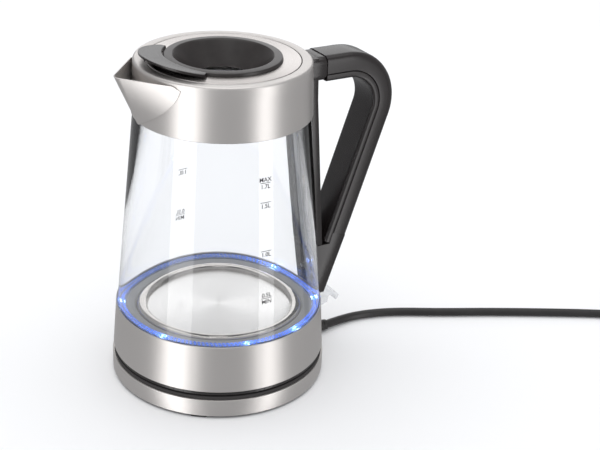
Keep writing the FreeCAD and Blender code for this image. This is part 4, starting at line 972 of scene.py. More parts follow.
@dataclass
class PowerBase(SubAssembly):
    """The round base that the jug stands on."""

    body: Body = Body.BASE
    band_wall: float = 0.8 * MM
    rim_inset: float = 1.2 * MM
    plate_wall: float = 2.2 * MM
    hub_radius: float = 25.0 * MM
    connector_gap: float = 0.3 * MM
    foot_count: int = 3
    foot_length: float = 11.0 * MM
    foot_width: float = 12.5 * MM
    foot_start: float = math.radians(-128.0)
    foot_inset: float = 0.9 * MM

    def build(self) -> None:
        """Make the band, both covers, the feet and the connector."""
        band, plate, cover = Span.of("base_band"), Span.of("base_top_plate"), Span.of("base_bottom_cover")
        outer, inner = band.radius, band.radius - self.band_wall
        lip = inner - 1.2 * MM
        self.turned("steel_band", [
            Corner(inner, band.low.z), Corner(outer, band.low.z, 0.35 * MM),
            Corner(outer, band.high.z, 0.6 * MM), Corner(lip, band.high.z),
            Corner(lip, band.high.z - self.band_wall), Corner(inner, band.high.z - self.band_wall)],
            STEEL, "brushed_steel", "base_band")
        self.top_plate(band, plate, inner)
        floor_top = cover.low.z + 2.0 * MM
        wall = inner - 0.3 * MM
        wall_top, wall_inside = floor_top + 3 * MM, wall - 1.6 * MM
        self.turned("bottom_cover", [
            Corner(0.0, cover.low.z), Corner(inner - 0.4 * MM, cover.low.z, 0.4 * MM),
            Corner(outer - 0.5 * MM, band.low.z - 0.1 * MM, 0.2 * MM), Corner(wall, band.low.z),
            Corner(wall, wall_top), Corner(wall_inside, wall_top), Corner(wall_inside, floor_top, 0.8 * MM),
            Corner(0.0, floor_top)], MATT_BLACK, "black_moulding", "base_bottom_cover", closed=False)
        self.feet(outer)
        connector = softened_copy("base_connector", "connector", 0.5 * MM)
        self.keep(connector, SATIN_BLACK, "black_moulding", "base_connector")
        self.dress(BRASS, "base_contacts", "socket_ring")
        self.dress(ZINC, "base_screws")
        self.dress(MATT_BLACK, "cord_clamp")
        self.dress(WIRE_SLEEVE, "base_wires")

    def top_plate(self, band: Span, plate: Span, inner: float) -> None:
        """The moulded plate with its rim, a shallow drip channel and the raised hub.

        Args:
            band: the steel band's box.
            plate: the plate's box.
            inner: inside radius of the band.
        """
        rim, rim_foot = band.radius - self.rim_inset, band.high.z + 0.1 * MM
        rim_top = band.high.z + 2.5 * MM
        under = rim_top - self.plate_wall
        wall = inner - 1.5 * MM
        wall_inside = wall - 1.8 * MM
        hole = Span.of("base_connector").radius - 7.5 * MM + self.connector_gap
        hub, top = self.hub_radius, plate.high.z
        hub_inside, hub_under = hub - self.plate_wall, top - self.plate_wall
        channel = rim_top - 0.8 * MM
        self.turned("top_plate", [
            Corner(hole, hub_under), Corner(hub_inside, hub_under), Corner(hub_inside, under),
            Corner(wall_inside, under), Corner(wall_inside, plate.low.z), Corner(wall, plate.low.z),
            Corner(wall, rim_foot), Corner(rim, rim_foot), Corner(rim, rim_top, 0.9 * MM),
            Corner(rim - 5 * MM, rim_top, 0.5 * MM), Corner(rim - 5.8 * MM, channel, 0.5 * MM),
            Corner(rim - 9 * MM, channel, 0.5 * MM), Corner(rim - 9.8 * MM, rim_top, 0.5 * MM),
            Corner(hub, rim_top, 1.6 * MM), Corner(hub, top, 1.8 * MM), Corner(hole, top, 0.4 * MM)],
            SATIN_BLACK, "black_moulding", "base_top_plate")

    def feet(self, outer: float) -> None:
        """Three rubber pads with rounded corners, set round the rim.

        Args:
            outer: radius of the steel band.
        """
        length, width, edge = self.foot_length / 2, self.foot_width / 2, 0.25 * MM
        plan = outline([
            Corner(-length, -width, 1.5 * MM), Corner(length, -width, 2.5 * MM),
            Corner(length, width, 2.5 * MM), Corner(-length, width, 1.5 * MM)])
        levels = ((0.0, 0.97), (edge, 1.0), (Span.of("base_feet").high.z, 1.0))
        pad = finish_mesh("foot_item", loft([
            [Vector((*(point * size), level)) for point in plan] for level, size in levels]))
        array = RoundArray(self.foot_count, outer - self.foot_inset - length - edge, self.foot_start)
        self.keep(array.build("rubber_feet", pad, RUBBER), RUBBER, "foot_rubber", "base_feet")


@dataclass
class JugFoot(SubAssembly):
    """The steel skirt, the heater in it, and the ring that lights the glass."""

    body: Body = Body.JUG
    steel_wall: float = 0.8 * MM
    edge_inset: float = 0.9 * MM
    window_half: float = math.radians(6.6)
    window_low: float = 31.5 * MM
    window_high: float = 44.6 * MM
    disc_radius: float = 51.5 * MM
    bead_width: float = 7.2 * MM
    bead_rise: float = 3.0 * MM
    plate_level: float = 54.0 * MM
    plate_wall: float = 0.8 * MM
    flange_width: float = 5.6 * MM
    seal_rise: float = 1.6 * MM
    lamp_azimuths: tuple[float, ...] = tuple(map(math.radians, (-62.0, -16.0, 28.0, 150.0, 205.0, 260.0)))
    dot_rows: tuple[float, ...] = (67.8 * MM, 70.6 * MM)
    dot_count: int = 150
    dot_radius: float = 1.05 * MM

    def build(self) -> None:
        """Make the skirt, its edge, the heating plate and the light ring."""
        skirt = Span.of("skirt")
        self.make_skirt(skirt)
        low, high = Span.of("jug_bottom_cover").low.z - 0.02 * MM, skirt.low.z - 0.1 * MM
        edge = skirt.radius - self.edge_inset
        inside = edge - 3.4 * MM
        self.turned("jug_edge", [
            Corner(inside, low), Corner(edge, low, 0.7 * MM), Corner(edge, high, 0.2 * MM),
            Corner(inside, high)], EDGE_BLACK, "black_moulding")
        self.dress(MATT_BLACK, "jug_bottom_cover", "carrier", "control_unit")
        self.make_plate()
        self.make_ring()
        self.dress(ZINC, "carrier_screws")
        self.dress(BRASS, "socket_contacts")
        self.dress(ALUMINIUM, "heat_spreader", "heating_element")
        self.dress(SILICONE, "plate_seal")
        self.dress(BOARD_GREEN, "led_board")
        self.dress(WIRE_SLEEVE, "jug_wires")

    def make_skirt(self, skirt: Span) -> None:
        """The brushed skirt, with the window that the switch lever comes out of.

        Args:
            skirt: the skirt's box.
        """
        turn_in = 0.35 * MM
        heights = [skirt.low.z, skirt.low.z + turn_in, self.window_low, self.window_high,
                   skirt.high.z - turn_in, skirt.high.z]
        azimuths = [self.window_half + (2 * math.pi - 2 * self.window_half) * step / TURN_STEPS
                    for step in range(TURN_STEPS + 1)]
        azimuths += [self.window_half * side for side in (-0.5, 0.0, 0.5)]

        def place(row: int, column: int) -> Vector:
            """A point of the skirt's outside."""
            radius = skirt.radius - SKIRT_TAPER * skirt.share(heights[row])
            if row in (0, len(heights) - 1):
                radius -= turn_in
            return polar(radius, azimuths[column], heights[row])

        def missing(row: int, column: int) -> bool:
            """Whether a cell is in the window."""
            return heights[row] == self.window_low and column >= TURN_STEPS

        shape = sheet_grid(len(heights) - 1, len(azimuths), place, missing, wraps=True)
        piece = finish_mesh("steel_skirt", shape)
        thicken(piece, self.steel_wall)
        self.keep(piece, STEEL, "brushed_steel", "skirt")

    def make_plate(self) -> None:
        """The spun disc, and the polished bead and flange around it."""
        level, wall = self.plate_level, self.plate_wall
        self.turned("heating_disc", [
            Corner(0.0, level), Corner(self.disc_radius, level, 0.3 * MM),
            Corner(self.disc_radius, level - wall), Corner(0.0, level - wall)],
            PLATE_STEEL, "plate_steel", "heating_plate", closed=False)
        inner, outer = self.disc_radius + 0.05 * MM, self.disc_radius + self.bead_width
        crest, half = (inner + outer) / 2, (outer - inner) / 2
        flange = level - 0.6 * MM
        steps = 14
        arch = [
            (crest + half * math.cos(math.pi * (1 - step / steps)), math.sin(math.pi * step / steps) ** 0.8)
            for step in range(steps + 1)]
        top = [Corner(across, level - 0.2 * MM + self.bead_rise * up) for across, up in arch]
        top += [Corner(outer + 0.6 * MM, flange, 0.4 * MM), Corner(outer + self.flange_width, flange)]
        under = [Corner(corner.across, corner.up - wall) for corner in reversed(top)]
        self.turned("heating_bead", top + under, BEAD_STEEL, "plate_steel")

    def make_ring(self) -> None:
        """The clear ring with two rows of dots on it, its lamps, and the glow of both."""
        ring = Span.of("light_ring")
        glow = GlowingPlastic("light_ring_clear", (0.80, 0.88, 1.0), lamp_azimuths=self.lamp_azimuths)
        inside = self.disc_radius + self.bead_width + self.flange_width + 1.9 * MM
        seat = Span.of("glass").low.z - 0.1 * MM
        wall = ring.radius - 3.15 * MM
        self.turned("light_ring_body", [
            Corner(inside, ring.low.z, 0.4 * MM), Corner(ring.radius, ring.low.z, 0.4 * MM),
            Corner(ring.radius, seat), Corner(wall, seat), Corner(wall, ring.high.z, 0.8 * MM),
            Corner(inside, ring.high.z, 0.8 * MM)], glow, "clear_plastic", "light_ring")
        dots = GlowingPlastic(
            "light_ring_dots", (0.30, 0.48, 1.0), glow=(0.10, 0.26, 1.0), strength=0.3,
            lamp_azimuths=self.lamp_azimuths, lamp_spread=0.25)
        for number, radius in enumerate(self.dot_rows):
            dome = lathe(outline([
                Corner(0.0, -0.3 * MM), Corner(self.dot_radius, -0.3 * MM),
                Corner(self.dot_radius, 0.6 * MM, 0.6 * MM), Corner(0.0, 0.75 * MM)], closed=False, steps=2),
                closed=False, steps=8)
            item = finish_mesh("dot_item", dome)
            array = RoundArray(self.dot_count, radius, height=ring.high.z, start=0.015 * number)
            self.keep(array.build(f"light_dots_{number + 1}", item, dots), dots, "clear_plastic")
        lamp = GlowingPlastic("lamp_blue", (0.5, 0.65, 1.0), glow=(0.35, 0.55, 1.0), strength=4.0,
                              lamp_azimuths=self.lamp_azimuths, lamp_spread=0.5)
        self.dress(lamp, "leds")


@dataclass
class GlassJug(SubAssembly):
    """The tapered glass with its litre marks."""

    body: Body = Body.JUG
    wall: float = 2.6 * MM
    ink_lift: float = 0.05 * MM
    letter_height: float = 4.3 * MM
    line_half: float = math.radians(3.4)
    line_width: float = 0.45 * MM
    word_gap: float = 0.9 * MM
    scale_azimuths: tuple[float, ...] = (math.radians(-91.0), math.radians(89.0))
    marks: tuple[tuple[float, str, str], ...] = (
        (174.2 * MM, "MAX", "1.7L"), (160.3 * MM, "", "1.5L"), (125.1 * MM, "", "1.0L"),
        (90.0 * MM, "0.5L", "MIN"))

    def build(self) -> None:
        """Make the glass and print its marks."""
        glass = Span.of("glass")
        foot, top = glass.radius, self.top_radius()
        soft = 0.7 * MM
        self.turned("glass_wall", [
            Corner(foot - self.wall, glass.low.z, 0.3 * MM), Corner(foot, glass.low.z, soft),
            Corner(top, glass.high.z, soft), Corner(top - self.wall, glass.high.z, soft)],
            GLASS, "glass", "glass")
        for number, azimuth in enumerate(self.scale_azimuths):
            self.keep(self.scale(f"litre_marks_{number + 1}", azimuth), INK, "glass")
        self.dress(SILICONE, "top_seal")

    @staticmethod
    def top_radius() -> float:
        """Radius of the glass where it ends inside the collar."""
        return Span.of("collar").radius - 1.65 * MM

    def radius_at(self, height: float) -> float:
        """Outside radius of the glass at a height."""
        glass = Span.of("glass")
        return glass.radius + (self.top_radius() - glass.radius) * glass.share(height)

    def scale(self, name: str, azimuth: float) -> bpy.types.Object:
        """One column of marks, wrapped on the glass.

        Args:
            name: the object's name.
            azimuth: where its middle is.

        Returns:
            The printed column.
        """
        shape = bmesh.new()
        capital = self.letter_height * 0.72
        for level, above, below in self.marks:
            self.add_line(shape, azimuth, level)
            for words, base in ((above, level + self.word_gap), (below, level - self.word_gap - capital)):
                if words:
                    self.add_words(shape, words, azimuth, base)
        return finish_mesh(name, shape)

    def wrapped(self, along: float, azimuth: float, height: float) -> Vector:
        """A point on the glass from a distance along it, just clear of its surface."""
        radius = self.radius_at(height)
        return polar(radius + self.ink_lift, azimuth + along / radius, height)

    def add_line(self, shape: bmesh.types.BMesh, azimuth: float, level: float) -> None:
        """Add one level line to a shape."""
        steps = 10
        half = self.line_half * self.radius_at(level)
        edges = (level - self.line_width / 2, level + self.line_width / 2)
        rows = [[shape.verts.new(self.wrapped(half * (2 * step / steps - 1), azimuth, edge))
                 for step in range(steps + 1)] for edge in edges]
        bridge(shape, rows, closed=False)

    def add_words(self, shape: bmesh.types.BMesh, words: str, azimuth: float, base: float) -> None:
        """Add a word to a shape.

        Args:
            shape: where it goes.
            words: its letters.
            azimuth: where its middle is.
            base: height of its base line.
        """
        curve = bpy.data.curves.new("word", "FONT")
        curve.body = words
        curve.size = self.letter_height
        curve.align_x = "CENTER"
        curve.offset = 0.08 * MM
        curve.resolution_u = 3
        holder = placed("word", curve)
        bpy.context.view_layer.update()
        mesh = bpy.data.meshes.new_from_object(holder.evaluated_get(bpy.context.evaluated_depsgraph_get()))
        for vert in mesh.vertices:
            vert.co = self.wrapped(vert.co.x, azimuth, base + vert.co.y)
        shape.from_mesh(mesh)
        bpy.data.objects.remove(holder)
        bpy.data.curves.remove(curve)
        bpy.data.meshes.remove(mesh)


@dataclass
class Collar(SubAssembly):
    """The steel collar with its beak, and the pierced wall behind the beak."""

    body: Body = Body.JUG
    wall: float = 0.8 * MM
    rim_round: float = 2.0 * MM
    mouth: float = 54.3 * MM
    mouth_depth: float = 3.0 * MM
    columns: int = 240
    window_low: float = 213.0 * MM
    window_high: float = 232.0 * MM
    window_margin: float = math.radians(1.6)
    beak_reach: float = 80.0 * MM
    beak_half: float = math.radians(36.0)
    beak_depth: float = 36.0 * MM
    beak_drop: float = 2.5 * MM
    nose: float = 6.0 * MM
    ear_dip: float = 2.4 * MM
    hole_radius: float = 0.95 * MM
    hole_rows: int = 6
    hole_pitch: float = math.radians(3.0)
    fold: float = 1.9

    def build(self) -> None:
        """Make the collar, the beak and the pierced wall."""
        self.make_collar()
        self.make_beak()
        self.make_screen()
        self.dress(MATT_BLACK, "collar_liner", "filter_frame")

    def radius_at(self, height: float) -> float:
        """Outside radius of the collar at a height."""
        collar = Span.of("collar")
        return collar.radius - COLLAR_TAPER * collar.share(height)

    def make_collar(self) -> None:
        """The ring itself, rolled over at the rim and open behind the beak."""
        collar = Span.of("collar")
        top, bend = collar.high.z, self.rim_round
        crown, levels = self.radius_at(top), self.row_levels()
        first_open = 2
        line = [(self.radius_at(collar.low.z) - 0.25 * MM, collar.low.z)]
        line += [(self.radius_at(z), z) for z in (collar.low.z + 0.3 * MM, *levels, top - bend)]
        arc_steps = 6
        for step in range(1, arc_steps + 1):
            angle = math.pi / 2 * step / arc_steps
            line.append((crown - bend * (1 - math.cos(angle)), top - bend * (1 - math.sin(angle))))
        line += [(self.mouth + 0.45 * MM, top), (self.mouth + 0.1 * MM, top - 0.15 * MM),
                 (self.mouth, top - 0.5 * MM), (self.mouth, top - self.mouth_depth)]

        def azimuth(column: int) -> float:
            """Azimuth of a column."""
            return 2 * math.pi * column / self.columns

        def missing(row: int, column: int) -> bool:
            """Whether a cell is in the opening behind the beak."""
            if not 0 <= row - first_open < self.hole_rows:
                return False
            middle = azimuth(column) + math.pi / self.columns
            return abs(middle - SPOUT_WAY) < self.pitches(levels[row - first_open]) * self.hole_pitch / 2

        def place(row: int, column: int) -> Vector:
            """A point of the collar's outside."""
            radius, height = line[row]
            return polar(radius, azimuth(column), height)

        piece = finish_mesh("steel_collar", sheet_grid(len(line) - 1, self.columns, place, missing, wraps=True))
        thicken(piece, self.wall)
        self.keep(piece, STEEL, "brushed_steel", "collar")

    def row_levels(self) -> list[float]:
        """Heights of the edges between the rows of holes."""
        step = (self.window_high - self.window_low) / self.hole_rows
        return [self.window_low + step * row for row in range(self.hole_rows + 1)]

    def beak_depth_share(self, height: float) -> float:
        """How far down the beak a height is, from 0 at the lip to 1 at its foot."""
        lip = Span.of("collar").high.z - self.beak_drop
        return min(max((lip - height) / self.beak_depth, 0.0), 1.0)

    def half_angle(self, height: float) -> float:
        """Angle from the spout's middle to the fold between beak and collar."""
        return self.beak_half * (1 - self.beak_depth_share(height) ** self.fold)

    def pitches(self, height: float) -> int:
        """How many holes fit side by side in the row that starts at a height."""
        return 2 * int((self.half_angle(height) - self.window_margin) / self.hole_pitch)

    def beak_radius(self, share: float, height: float) -> tuple[float, float]:
        """Where the beak's outside is.

        Args:
            share: from -1 at one root to 1 at the other.
            height: the height.

        Returns:
            Angle from the spout's middle and radius.
        """
        depth = self.beak_depth_share(height)
        half = self.half_angle(height)
        root_radius = self.radius_at(height) - 0.15 * MM
        reach = self.beak_reach - (self.beak_reach - Span.of("collar").radius) * depth
        root = Vector((root_radius * math.cos(half), root_radius * math.sin(half)))
        flank = (root - Vector((reach, 0.0))).normalized()
        middle = reach - self.nose
        touch = Vector((middle + self.nose * flank.y, -self.nose * flank.x))
        angle = half * math.copysign(abs(share) ** 1.4, share)
        side = abs(angle)
        if side <= math.atan2(touch.y, touch.x) or half < 1e-4:
            inside = max(self.nose ** 2 - (middle * math.sin(side)) ** 2, 0.0)
            radius = middle * math.cos(side) + math.sqrt(inside)
        else:
            way = touch - root
            radius = (root.x * way.y - root.y * way.x) / (math.cos(side) * way.y - math.sin(side) * way.x)
        return angle, radius

    def make_beak(self) -> None:
        """The V-shaped beak, flat on both flanks and round at the nose."""
        lip = Span.of("collar").high.z - self.beak_drop
        rows, columns = 36, 84

        def place(row: int, column: int) -> Vector:
            """A point of the beak's outside."""
            share = 2 * column / columns - 1
            ear = smooth_step((abs(share) - 0.88) / 0.12)
            high = lip - self.ear_dip * ear
            low = lip - self.beak_depth * 0.985
            height = low + (high - low) * (row / rows)
            angle, radius = self.beak_radius(share, height)
            return polar(radius, SPOUT_WAY + angle, height)

        piece = finish_mesh("steel_beak", sheet_grid(rows, columns, place), math.radians(50))
        thicken(piece, self.wall)
        self.keep(piece, STEEL, "brushed_steel", "spout")

    def make_screen(self) -> None:
        """The pierced wall: rows of cells with a hole each, repeated around the opening behind the beak."""
        levels = self.row_levels()
        cell_height = levels[1] - levels[0]
        half_width = self.radius_at(self.window_low) * math.tan(self.hole_pitch / 2)
        facets = 12
        rows = []
        for level in levels[:-1]:
            shape = bmesh.new()
            holes, edges = [], []
            for step in range(facets):
                angle = 2 * math.pi * (step + 0.5) / facets
                c, s = math.cos(angle), math.sin(angle)
                reach = 1 / max(abs(c), abs(s))
                holes.append(shape.verts.new((0.0, self.hole_radius * c, self.hole_radius * s)))
                edges.append(shape.verts.new((0.0, half_width * c * reach, cell_height / 2 * s * reach)))
            bridge(shape, [edges, holes], closed=True)
            cell = finish_mesh("cell_item", shape)
            thicken(cell, 0.5 * MM)
            count = self.pitches(level)
            middle = level + cell_height / 2
            start = SPOUT_WAY - (count - 1) * self.hole_pitch / 2
            radius = self.radius_at(middle) - 0.15 * MM
            array = RoundArray(count, radius, start, count * self.hole_pitch, middle)
            rows.append(array.build("pierced_row", cell, NET_STEEL))
        self.keep(merged("pierced_wall", rows), NET_STEEL, "steel_mesh", "filter_mesh")


@dataclass
class Lid(SubAssembly):
    """The lid plate with its finger hollow, the funnel and the lifting tab."""

    body: Body = Body.LID
    radius: float = 53.8 * MM
    wall: float = 0.9 * MM
    columns: int = 240
    inner: float = 38.6 * MM
    hollow_inner: float = 42.0 * MM
    hollow_width: float = 10.3 * MM
    hollow_half: float = math.radians(45.0)
    hollow_depth: float = 6.0 * MM
    ring_radius: float = 41.4 * MM
    ring_rise: float = 2.6 * MM
    mouth: float = 34.2 * MM
    funnel_foot: float = 21.5 * MM
    funnel_depth: float = 17.0 * MM
    funnel_wall: float = 1.8 * MM
    tab_half: float = math.radians(47.0)
    tab_reach: float = 61.0 * MM
    tab_rise: float = 9.0 * MM
    tab_wall: float = 1.8 * MM

    def build(self) -> None:
        """Make the plate, the hollow, the funnel and the tab."""
        self.make_plate()
        self.make_hollow()
        self.make_funnel()
        self.make_tab()
        self.dress(MATT_BLACK, "lid_body")
        self.dress(SILICONE, "lid_seal")

    @staticmethod
    def rim() -> float:
        """Height of the lid's top face."""
        return Span.of("lid_plate").high.z

    def hollow_edge(self, angle: float) -> float:
        """Outer edge of the finger hollow at an angle from the spout."""
        share = min(abs(angle) / self.hollow_half, 1.0)
        return self.hollow_inner + self.hollow_width * max(1 - share ** 2.2, 0.0) ** 0.62

    def make_plate(self) -> None:
        """The brushed plate, left open over the finger hollow."""
        top = self.rim()

        def angle(column: int) -> float:
            """Angle of a column from the spout."""
            return 2 * math.pi * column / self.columns - math.pi

        def place(row: int, column: int) -> Vector:
            """A point of the plate's top."""
            turned = angle(column)
            edge = max(self.hollow_edge(turned), self.hollow_inner + 0.4 * MM)
            line = (
                (self.inner, 0.0), (self.hollow_inner, 0.0), (edge, 0.0), (edge + 0.35 * MM, 0.0),
                (self.radius - 0.8 * MM, 0.0), (self.radius - 0.25 * MM, 0.08 * MM), (self.radius, 0.35 * MM))
            radius, drop = line[row]
            return polar(radius, SPOUT_WAY + turned, top - drop)

        def missing(row: int, column: int) -> bool:
            """Whether a cell is over the hollow."""
            return row == 1 and abs(angle(column) + math.pi / self.columns) < self.hollow_half

        piece = finish_mesh("lid_disc", sheet_grid(6, self.columns, place, missing, wraps=True))
        thicken(piece, self.wall)
        self.keep(piece, LID_STEEL, "brushed_steel", "lid_plate")

    def make_hollow(self) -> None:
        """The dished hollow that a finger reaches into under the tab."""
        top = self.rim() - 0.1 * MM
        rows, columns = 12, 60

        def place(row: int, column: int) -> Vector:
            """A point of the dish."""
            turned = self.hollow_half * (2 * column / columns - 1)
            share = row / rows
            edge = self.hollow_edge(turned)
            radius = self.hollow_inner - 1.5 * MM + (edge - self.hollow_inner + 1.5 * MM) * share
            depth = self.hollow_depth * math.sin(math.pi * min(share + 0.1, 1.0)) ** 0.6
            depth *= max(1 - (turned / self.hollow_half) ** 2, 0.0) ** 0.4
            return polar(radius, SPOUT_WAY + turned, top - depth)

        piece = finish_mesh("finger_hollow", sheet_grid(rows, columns, place))
        thicken(piece, 0.8 * MM)
        self.keep(piece, EDGE_BLACK, "black_moulding")

    def make_funnel(self) -> None:
        """The raised ring and the funnel that runs down from it."""
        top = self.rim() + self.ring_rise
        foot = top - self.funnel_depth
        wall = self.funnel_wall
        corners = [
            Corner(self.mouth, top - 1.0 * MM, 1.5 * MM), Corner(self.mouth + 1.0 * MM, top, 0.8 * MM),
            Corner(self.ring_radius - 0.6 * MM, top - 0.35 * MM, 0.9 * MM),
            Corner(self.ring_radius, self.rim() + 0.1 * MM, 0.2 * MM),
            Corner(self.mouth + wall + 0.4 * MM, self.rim() + 0.1 * MM),
            Corner(self.mouth + wall - 1.6 * MM, self.rim() - 3 * MM, 1 * MM),
            Corner(self.funnel_foot + wall, foot, 0.5 * MM), Corner(self.funnel_foot, foot, 0.5 * MM)]
        self.turned("filling_funnel", corners, RING_BLACK, "satin_black", "lid_funnel")

    def make_tab(self) -> None:
        """The beak-shaped tab, highest at its middle over the spout."""
        base = self.rim()
        root = self.ring_radius
        steps = 56
        sections = []
        for step in range(steps + 1):
            side = 2 * step / steps - 1
            share = abs(side)
            reach = root + 6.0 * MM + (self.tab_reach - root - 6.0 * MM) * (1 - share ** 1.7)
            tip = base + 3.0 * MM + (self.tab_rise - 3.0 * MM) * (1 - share ** 1.5)
            crest = base + 3.0 * MM + 1.6 * MM * (1 - share ** 2)
            corners = [
                Corner(root + 0.4 * MM, base + 0.1 * MM, 0.2 * MM), Corner(root + 0.6 * MM, crest, 0.9 * MM),
                Corner(root + 3.6 * MM, crest + 0.1 * MM, 3.0 * MM), Corner(reach, tip, 0.5 * MM),
                Corner(reach - 0.3 * MM, tip - self.tab_wall, 0.5 * MM),
                Corner(root + 4.4 * MM, base + 0.1 * MM, 1.5 * MM)]
            azimuth = SPOUT_WAY + self.tab_half * side
            sections.append([polar(point.x, azimuth, point.y) for point in outline(corners)])
        self.keep(finish_mesh("lifting_tab", loft(sections)), GLOSS_BLACK, "gloss_black", "lid_tab")


@dataclass
class Handle(SubAssembly):
    """The loop handle: a short arm, a grip in two shells, the spine and the lower bracket."""

    body: Body = Body.JUG
    width: float = 27.0 * MM
    depth: float = 18.5 * MM
    corner: float = 5.5 * MM
    wall: float = 2.4 * MM
    split: float = 13.2 * MM
    split_gap: float = 0.3 * MM
    groove: float = 0.7 * MM
    bend_centre: tuple[float, float] = (97.5 * MM, 196.5 * MM)
    bend_radius: float = 30.0 * MM
    lower_seam: float = 93.5 * MM
    crotch: float = 86.0 * MM
    spine_depth: float = 7.8 * MM
    edge: float = 0.9 * MM

    def build(self) -> None:
        """Make both shells and round the edges of the moulded pieces between them and the jug."""
        half = self.depth / 2
        low = half - self.split
        outer = self.shell_section(low, half)
        inner = self.shell_section(-half, low - self.split_gap)
        start = Span.of("grip_outer_shell").low.x
        shells = {"grip_outer": (outer, self.lower_seam), "grip_inner": (inner, self.crotch)}
        for name, (section, end) in shells.items():
            self.keep(self.sweep(name, section, start, end), GLOSS_BLACK, "gloss_black", name + "_shell")
        softened = {"handle_stub": "handle_arm", "spine": "handle_spine", "bracket": "handle_bracket"}
        for node, name in softened.items():
            self.keep(softened_copy(node, name, self.edge), GLOSS_BLACK, "gloss_black", node)
        self.dress(ZINC, "handle_frame", "handle_screws", "bimetal_disc", "lever_pin")
        self.dress(SILICONE, "steam_tube")
        self.dress(MATT_BLACK, "steam_switch")

    def shell_section(self, low: float, high: float) -> list[Vector]:
        """A C-shaped wall across the grip.

        Args:
            low: its inner edge, from the grip's middle.
            high: its outer edge.

        Returns:
            Points (sideways, outward).
        """
        half, wall = self.width / 2, self.wall
        opens_low = high > self.depth / 2 - 0.1 * MM
        shut, lip = (high, low) if opens_low else (low, high)
        inward = -wall if opens_low else wall
        corners = [
            Corner(-half, lip, self.groove), Corner(-half, shut, self.corner),
            Corner(half, shut, self.corner), Corner(half, lip, self.groove), Corner(half - wall, lip),
            Corner(half - wall, shut + inward, self.corner - wall),
            Corner(-half + wall, shut + inward, self.corner - wall), Corner(-half + wall, lip)]
        return outline(corners, steps=6)

    def lean(self) -> float:
        """Angle above level at which the bend ends, so that the grip aims at the bracket's foot."""
        skirt, bracket = Span.of("skirt"), Span.of("bracket")
        foot = skirt.radius - SKIRT_TAPER * skirt.share(bracket.low.z) + self.split_gap
        across, down = foot - self.bend_centre[0], bracket.low.z - self.bend_centre[1]
        return math.atan2(down, across) + math.acos(self.bend_radius / math.hypot(across, down))

    def path(self, start: float, end: float) -> list[tuple[Vector, Vector]]:
        """The grip's centre line.

        Args:
            start: where the arm begins, along X.
            end: the height where the grip ends.

        Returns:
            Points in the XZ plane, each with its outward direction.
        """
        centre = Vector((self.bend_centre[0], 0.0, self.bend_centre[1]))
        line = []
        arm_steps, bend_steps, grip_steps = 4, 40, 24
        for step in range(arm_steps):
            x = start + (centre.x - start) * step / arm_steps
            line.append((Vector((x, 0.0, centre.z + self.bend_radius)), UP.copy()))
        lean = self.lean()
        for step in range(bend_steps + 1):
            angle = math.pi / 2 + (lean - math.pi / 2) * step / bend_steps
            outward = Vector((math.cos(angle), 0.0, math.sin(angle)))
            line.append((centre + outward * self.bend_radius, outward))
        last, outward = line[-1]
        down = Vector((outward.z, 0.0, -outward.x))
        length = (last.z - end) / -down.z
        line += [(last + down * length * step / grip_steps, outward) for step in range(1, grip_steps + 1)]
        return line

    def sweep(self, name: str, section: Sequence[Vector], start: float, end: float) -> bpy.types.Object:
        """Carry a section along the centre line, held clear of the spine.

        Args:
            name: the object's name.
            section: points (sideways, outward).
            start: where the arm begins, along X.
            end: the height where the grip ends.

        Returns:
            The shell.
        """
        sections = []
        for middle, outward in self.path(start, end):
            loop = []
            for point in section:
                place = middle + outward * point.y + Vector((0.0, point.x, 0.0))
                place.x = max(place.x, self.spine_face(place.z))
                loop.append(place)
            sections.append(loop)
        return finish_mesh(name, loft(sections))

    def spine_face(self, height: float) -> float:
        """Outside of the spine at a height, with its gap to the grip."""
        skirt, collar = Span.of("skirt"), Span.of("collar")
        share = (height - skirt.high.z) / (collar.low.z - skirt.high.z)
        top = skirt.radius - SKIRT_TAPER
        return top + (collar.radius - top) * min(share, 1.0) + self.spine_depth + self.split_gap


@dataclass
class SwitchLever(SubAssembly):
    """The clear paddle that switches the kettle on and off."""

    body: Body = Body.LEVER
    edge: float = 0.45 * MM

    def build(self) -> None:
        """Round the lever's edges and dress it."""
        lever = softened_copy("switch_lever", "clear_lever", self.edge)
        self.keep(lever, CLEAR_PLASTIC, "clear_plastic", "switch_lever")


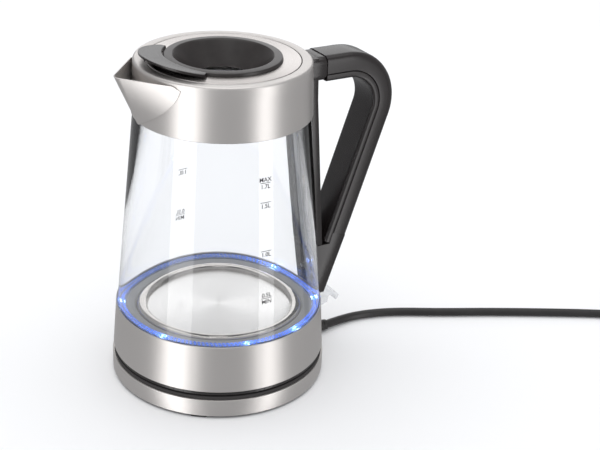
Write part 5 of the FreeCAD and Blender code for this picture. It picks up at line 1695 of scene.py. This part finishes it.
# ---------------------------------------------------------------- studio
@dataclass
class Studio:
    """Floor, lights and camera."""

    eye: tuple[float, float, float] = (-0.4106, -0.7661, 0.5337)
    ahead: tuple[float, float, float] = (0.4778, 0.7646, -0.4326)
    right: tuple[float, float, float] = (0.8480, -0.5299, 0.0)
    roll: float = math.radians(2.6676)
    lens: float = 79.63
    floor_size: float = 7.0
    sky: float = 0.86
    reflected_sky: float = 0.42

    def build(self) -> None:
        """Make everything around the kettle."""
        self.make_camera()
        self.make_floor()
        self.make_world()
        self.band_lamp("left_strip", polar(1.5, math.radians(-162.0), -0.3), (0.78, 3.0), 20.0)
        self.band_lamp("right_strip", polar(1.5, math.radians(-64.0), -0.3), (0.50, 3.0), 13.0)
        panel = self.band_lamp("back_panel", polar(1.9, math.radians(60.0), 0.95), (1.5, 1.1), 5.0)
        panel.visible_transmission = True
        self.lamp("top_box", Vector((0.1, 0.3, 2.4)), (2.6, 2.6), 24.0)

    def make_camera(self) -> None:
        """The camera, a little rolled."""
        ahead, right = Vector(self.ahead).normalized(), Vector(self.right).normalized()
        up = right.cross(ahead)
        side = right * math.cos(self.roll) + up * math.sin(self.roll)
        top = up * math.cos(self.roll) - right * math.sin(self.roll)
        data = bpy.data.cameras.new("camera")
        data.lens = self.lens
        data.sensor_width = 36.0
        data.clip_start, data.clip_end = 0.05, 30.0
        camera = placed("camera", data)
        turn = Matrix((side, top, -ahead)).transposed().to_4x4()
        camera.matrix_world = Matrix.Translation(Vector(self.eye)) @ turn
        bpy.context.scene.camera = camera

    def make_floor(self) -> None:
        """A plain pale floor."""
        half = self.floor_size / 2
        shape = bmesh.new()
        corners = ((-half, -half), (half, -half), (half, half), (-half, half))
        shape.faces.new([shape.verts.new((x, y, 0.0)) for x, y in corners])
        floor = finish_mesh("floor", shape)
        nodes = Nodes("floor_white")
        nodes.set(Base_Color=(0.93, 0.93, 0.935, 1.0), Roughness=0.6, Specular_IOR_Level=0.0)
        floor.data.materials.append(nodes.material)
        floor.visible_glossy = False

    def make_world(self) -> None:
        """A pale, even surround, darker where a shiny surface reflects it."""
        world = bpy.data.worlds.new("surround")
        world.use_nodes = True
        world.node_tree.nodes.clear()
        graph = Graph(world.node_tree)
        soft, mirrored = (
            graph.add("Background", Color=(0.97, 0.98, 1.0, 1.0), Strength=strength).outputs[0]
            for strength in (self.sky, self.reflected_sky))
        reflected = graph.add("LightPath").outputs["Is Glossy Ray"]
        mix = graph.add("MixShader", Fac=reflected, in1=soft, in2=mirrored)
        graph.add("OutputWorld", Surface=mix.outputs[0])
        bpy.context.scene.world = world

    @staticmethod
    def lamp(name: str, place: Vector, size: tuple[float, float], power: float) -> bpy.types.Object:
        """A flat lamp that shines down.

        Args:
            name: the lamp's name.
            place: where its middle is.
            size: its width and height.
            power: in watts.

        Returns:
            The lamp.
        """
        data = bpy.data.lights.new(name, "AREA")
        data.shape = "RECTANGLE"
        data.size, data.size_y = size
        data.energy = power
        lamp = placed(name, data)
        lamp.location = place
        return lamp

    def band_lamp(self, name: str, place: Vector, size: tuple[float, float],
                  power: float) -> bpy.types.Object:
        """An upright lamp that only shows as a band on shiny walls; it takes what lamp takes."""
        band = self.lamp(name, place, size, power)
        band.rotation_euler = (math.pi / 2, 0.0, math.atan2(place.y, place.x) + math.pi / 2)
        band.visible_camera = band.visible_diffuse = band.visible_transmission = False
        return band


def main() -> None:
    """Build the studio and every sub-assembly."""
    logging.basicConfig(level=logging.INFO, format="%(name)s: %(message)s")
    bpy.context.scene.view_settings.view_transform = "Standard"
    Studio().build()
    for part in (MainsLead(), PowerBase(), JugFoot(), GlassJug(), Collar(), Lid(), Handle(), SwitchLever()):
        part.build()


if __name__ == "__main__":
    main()
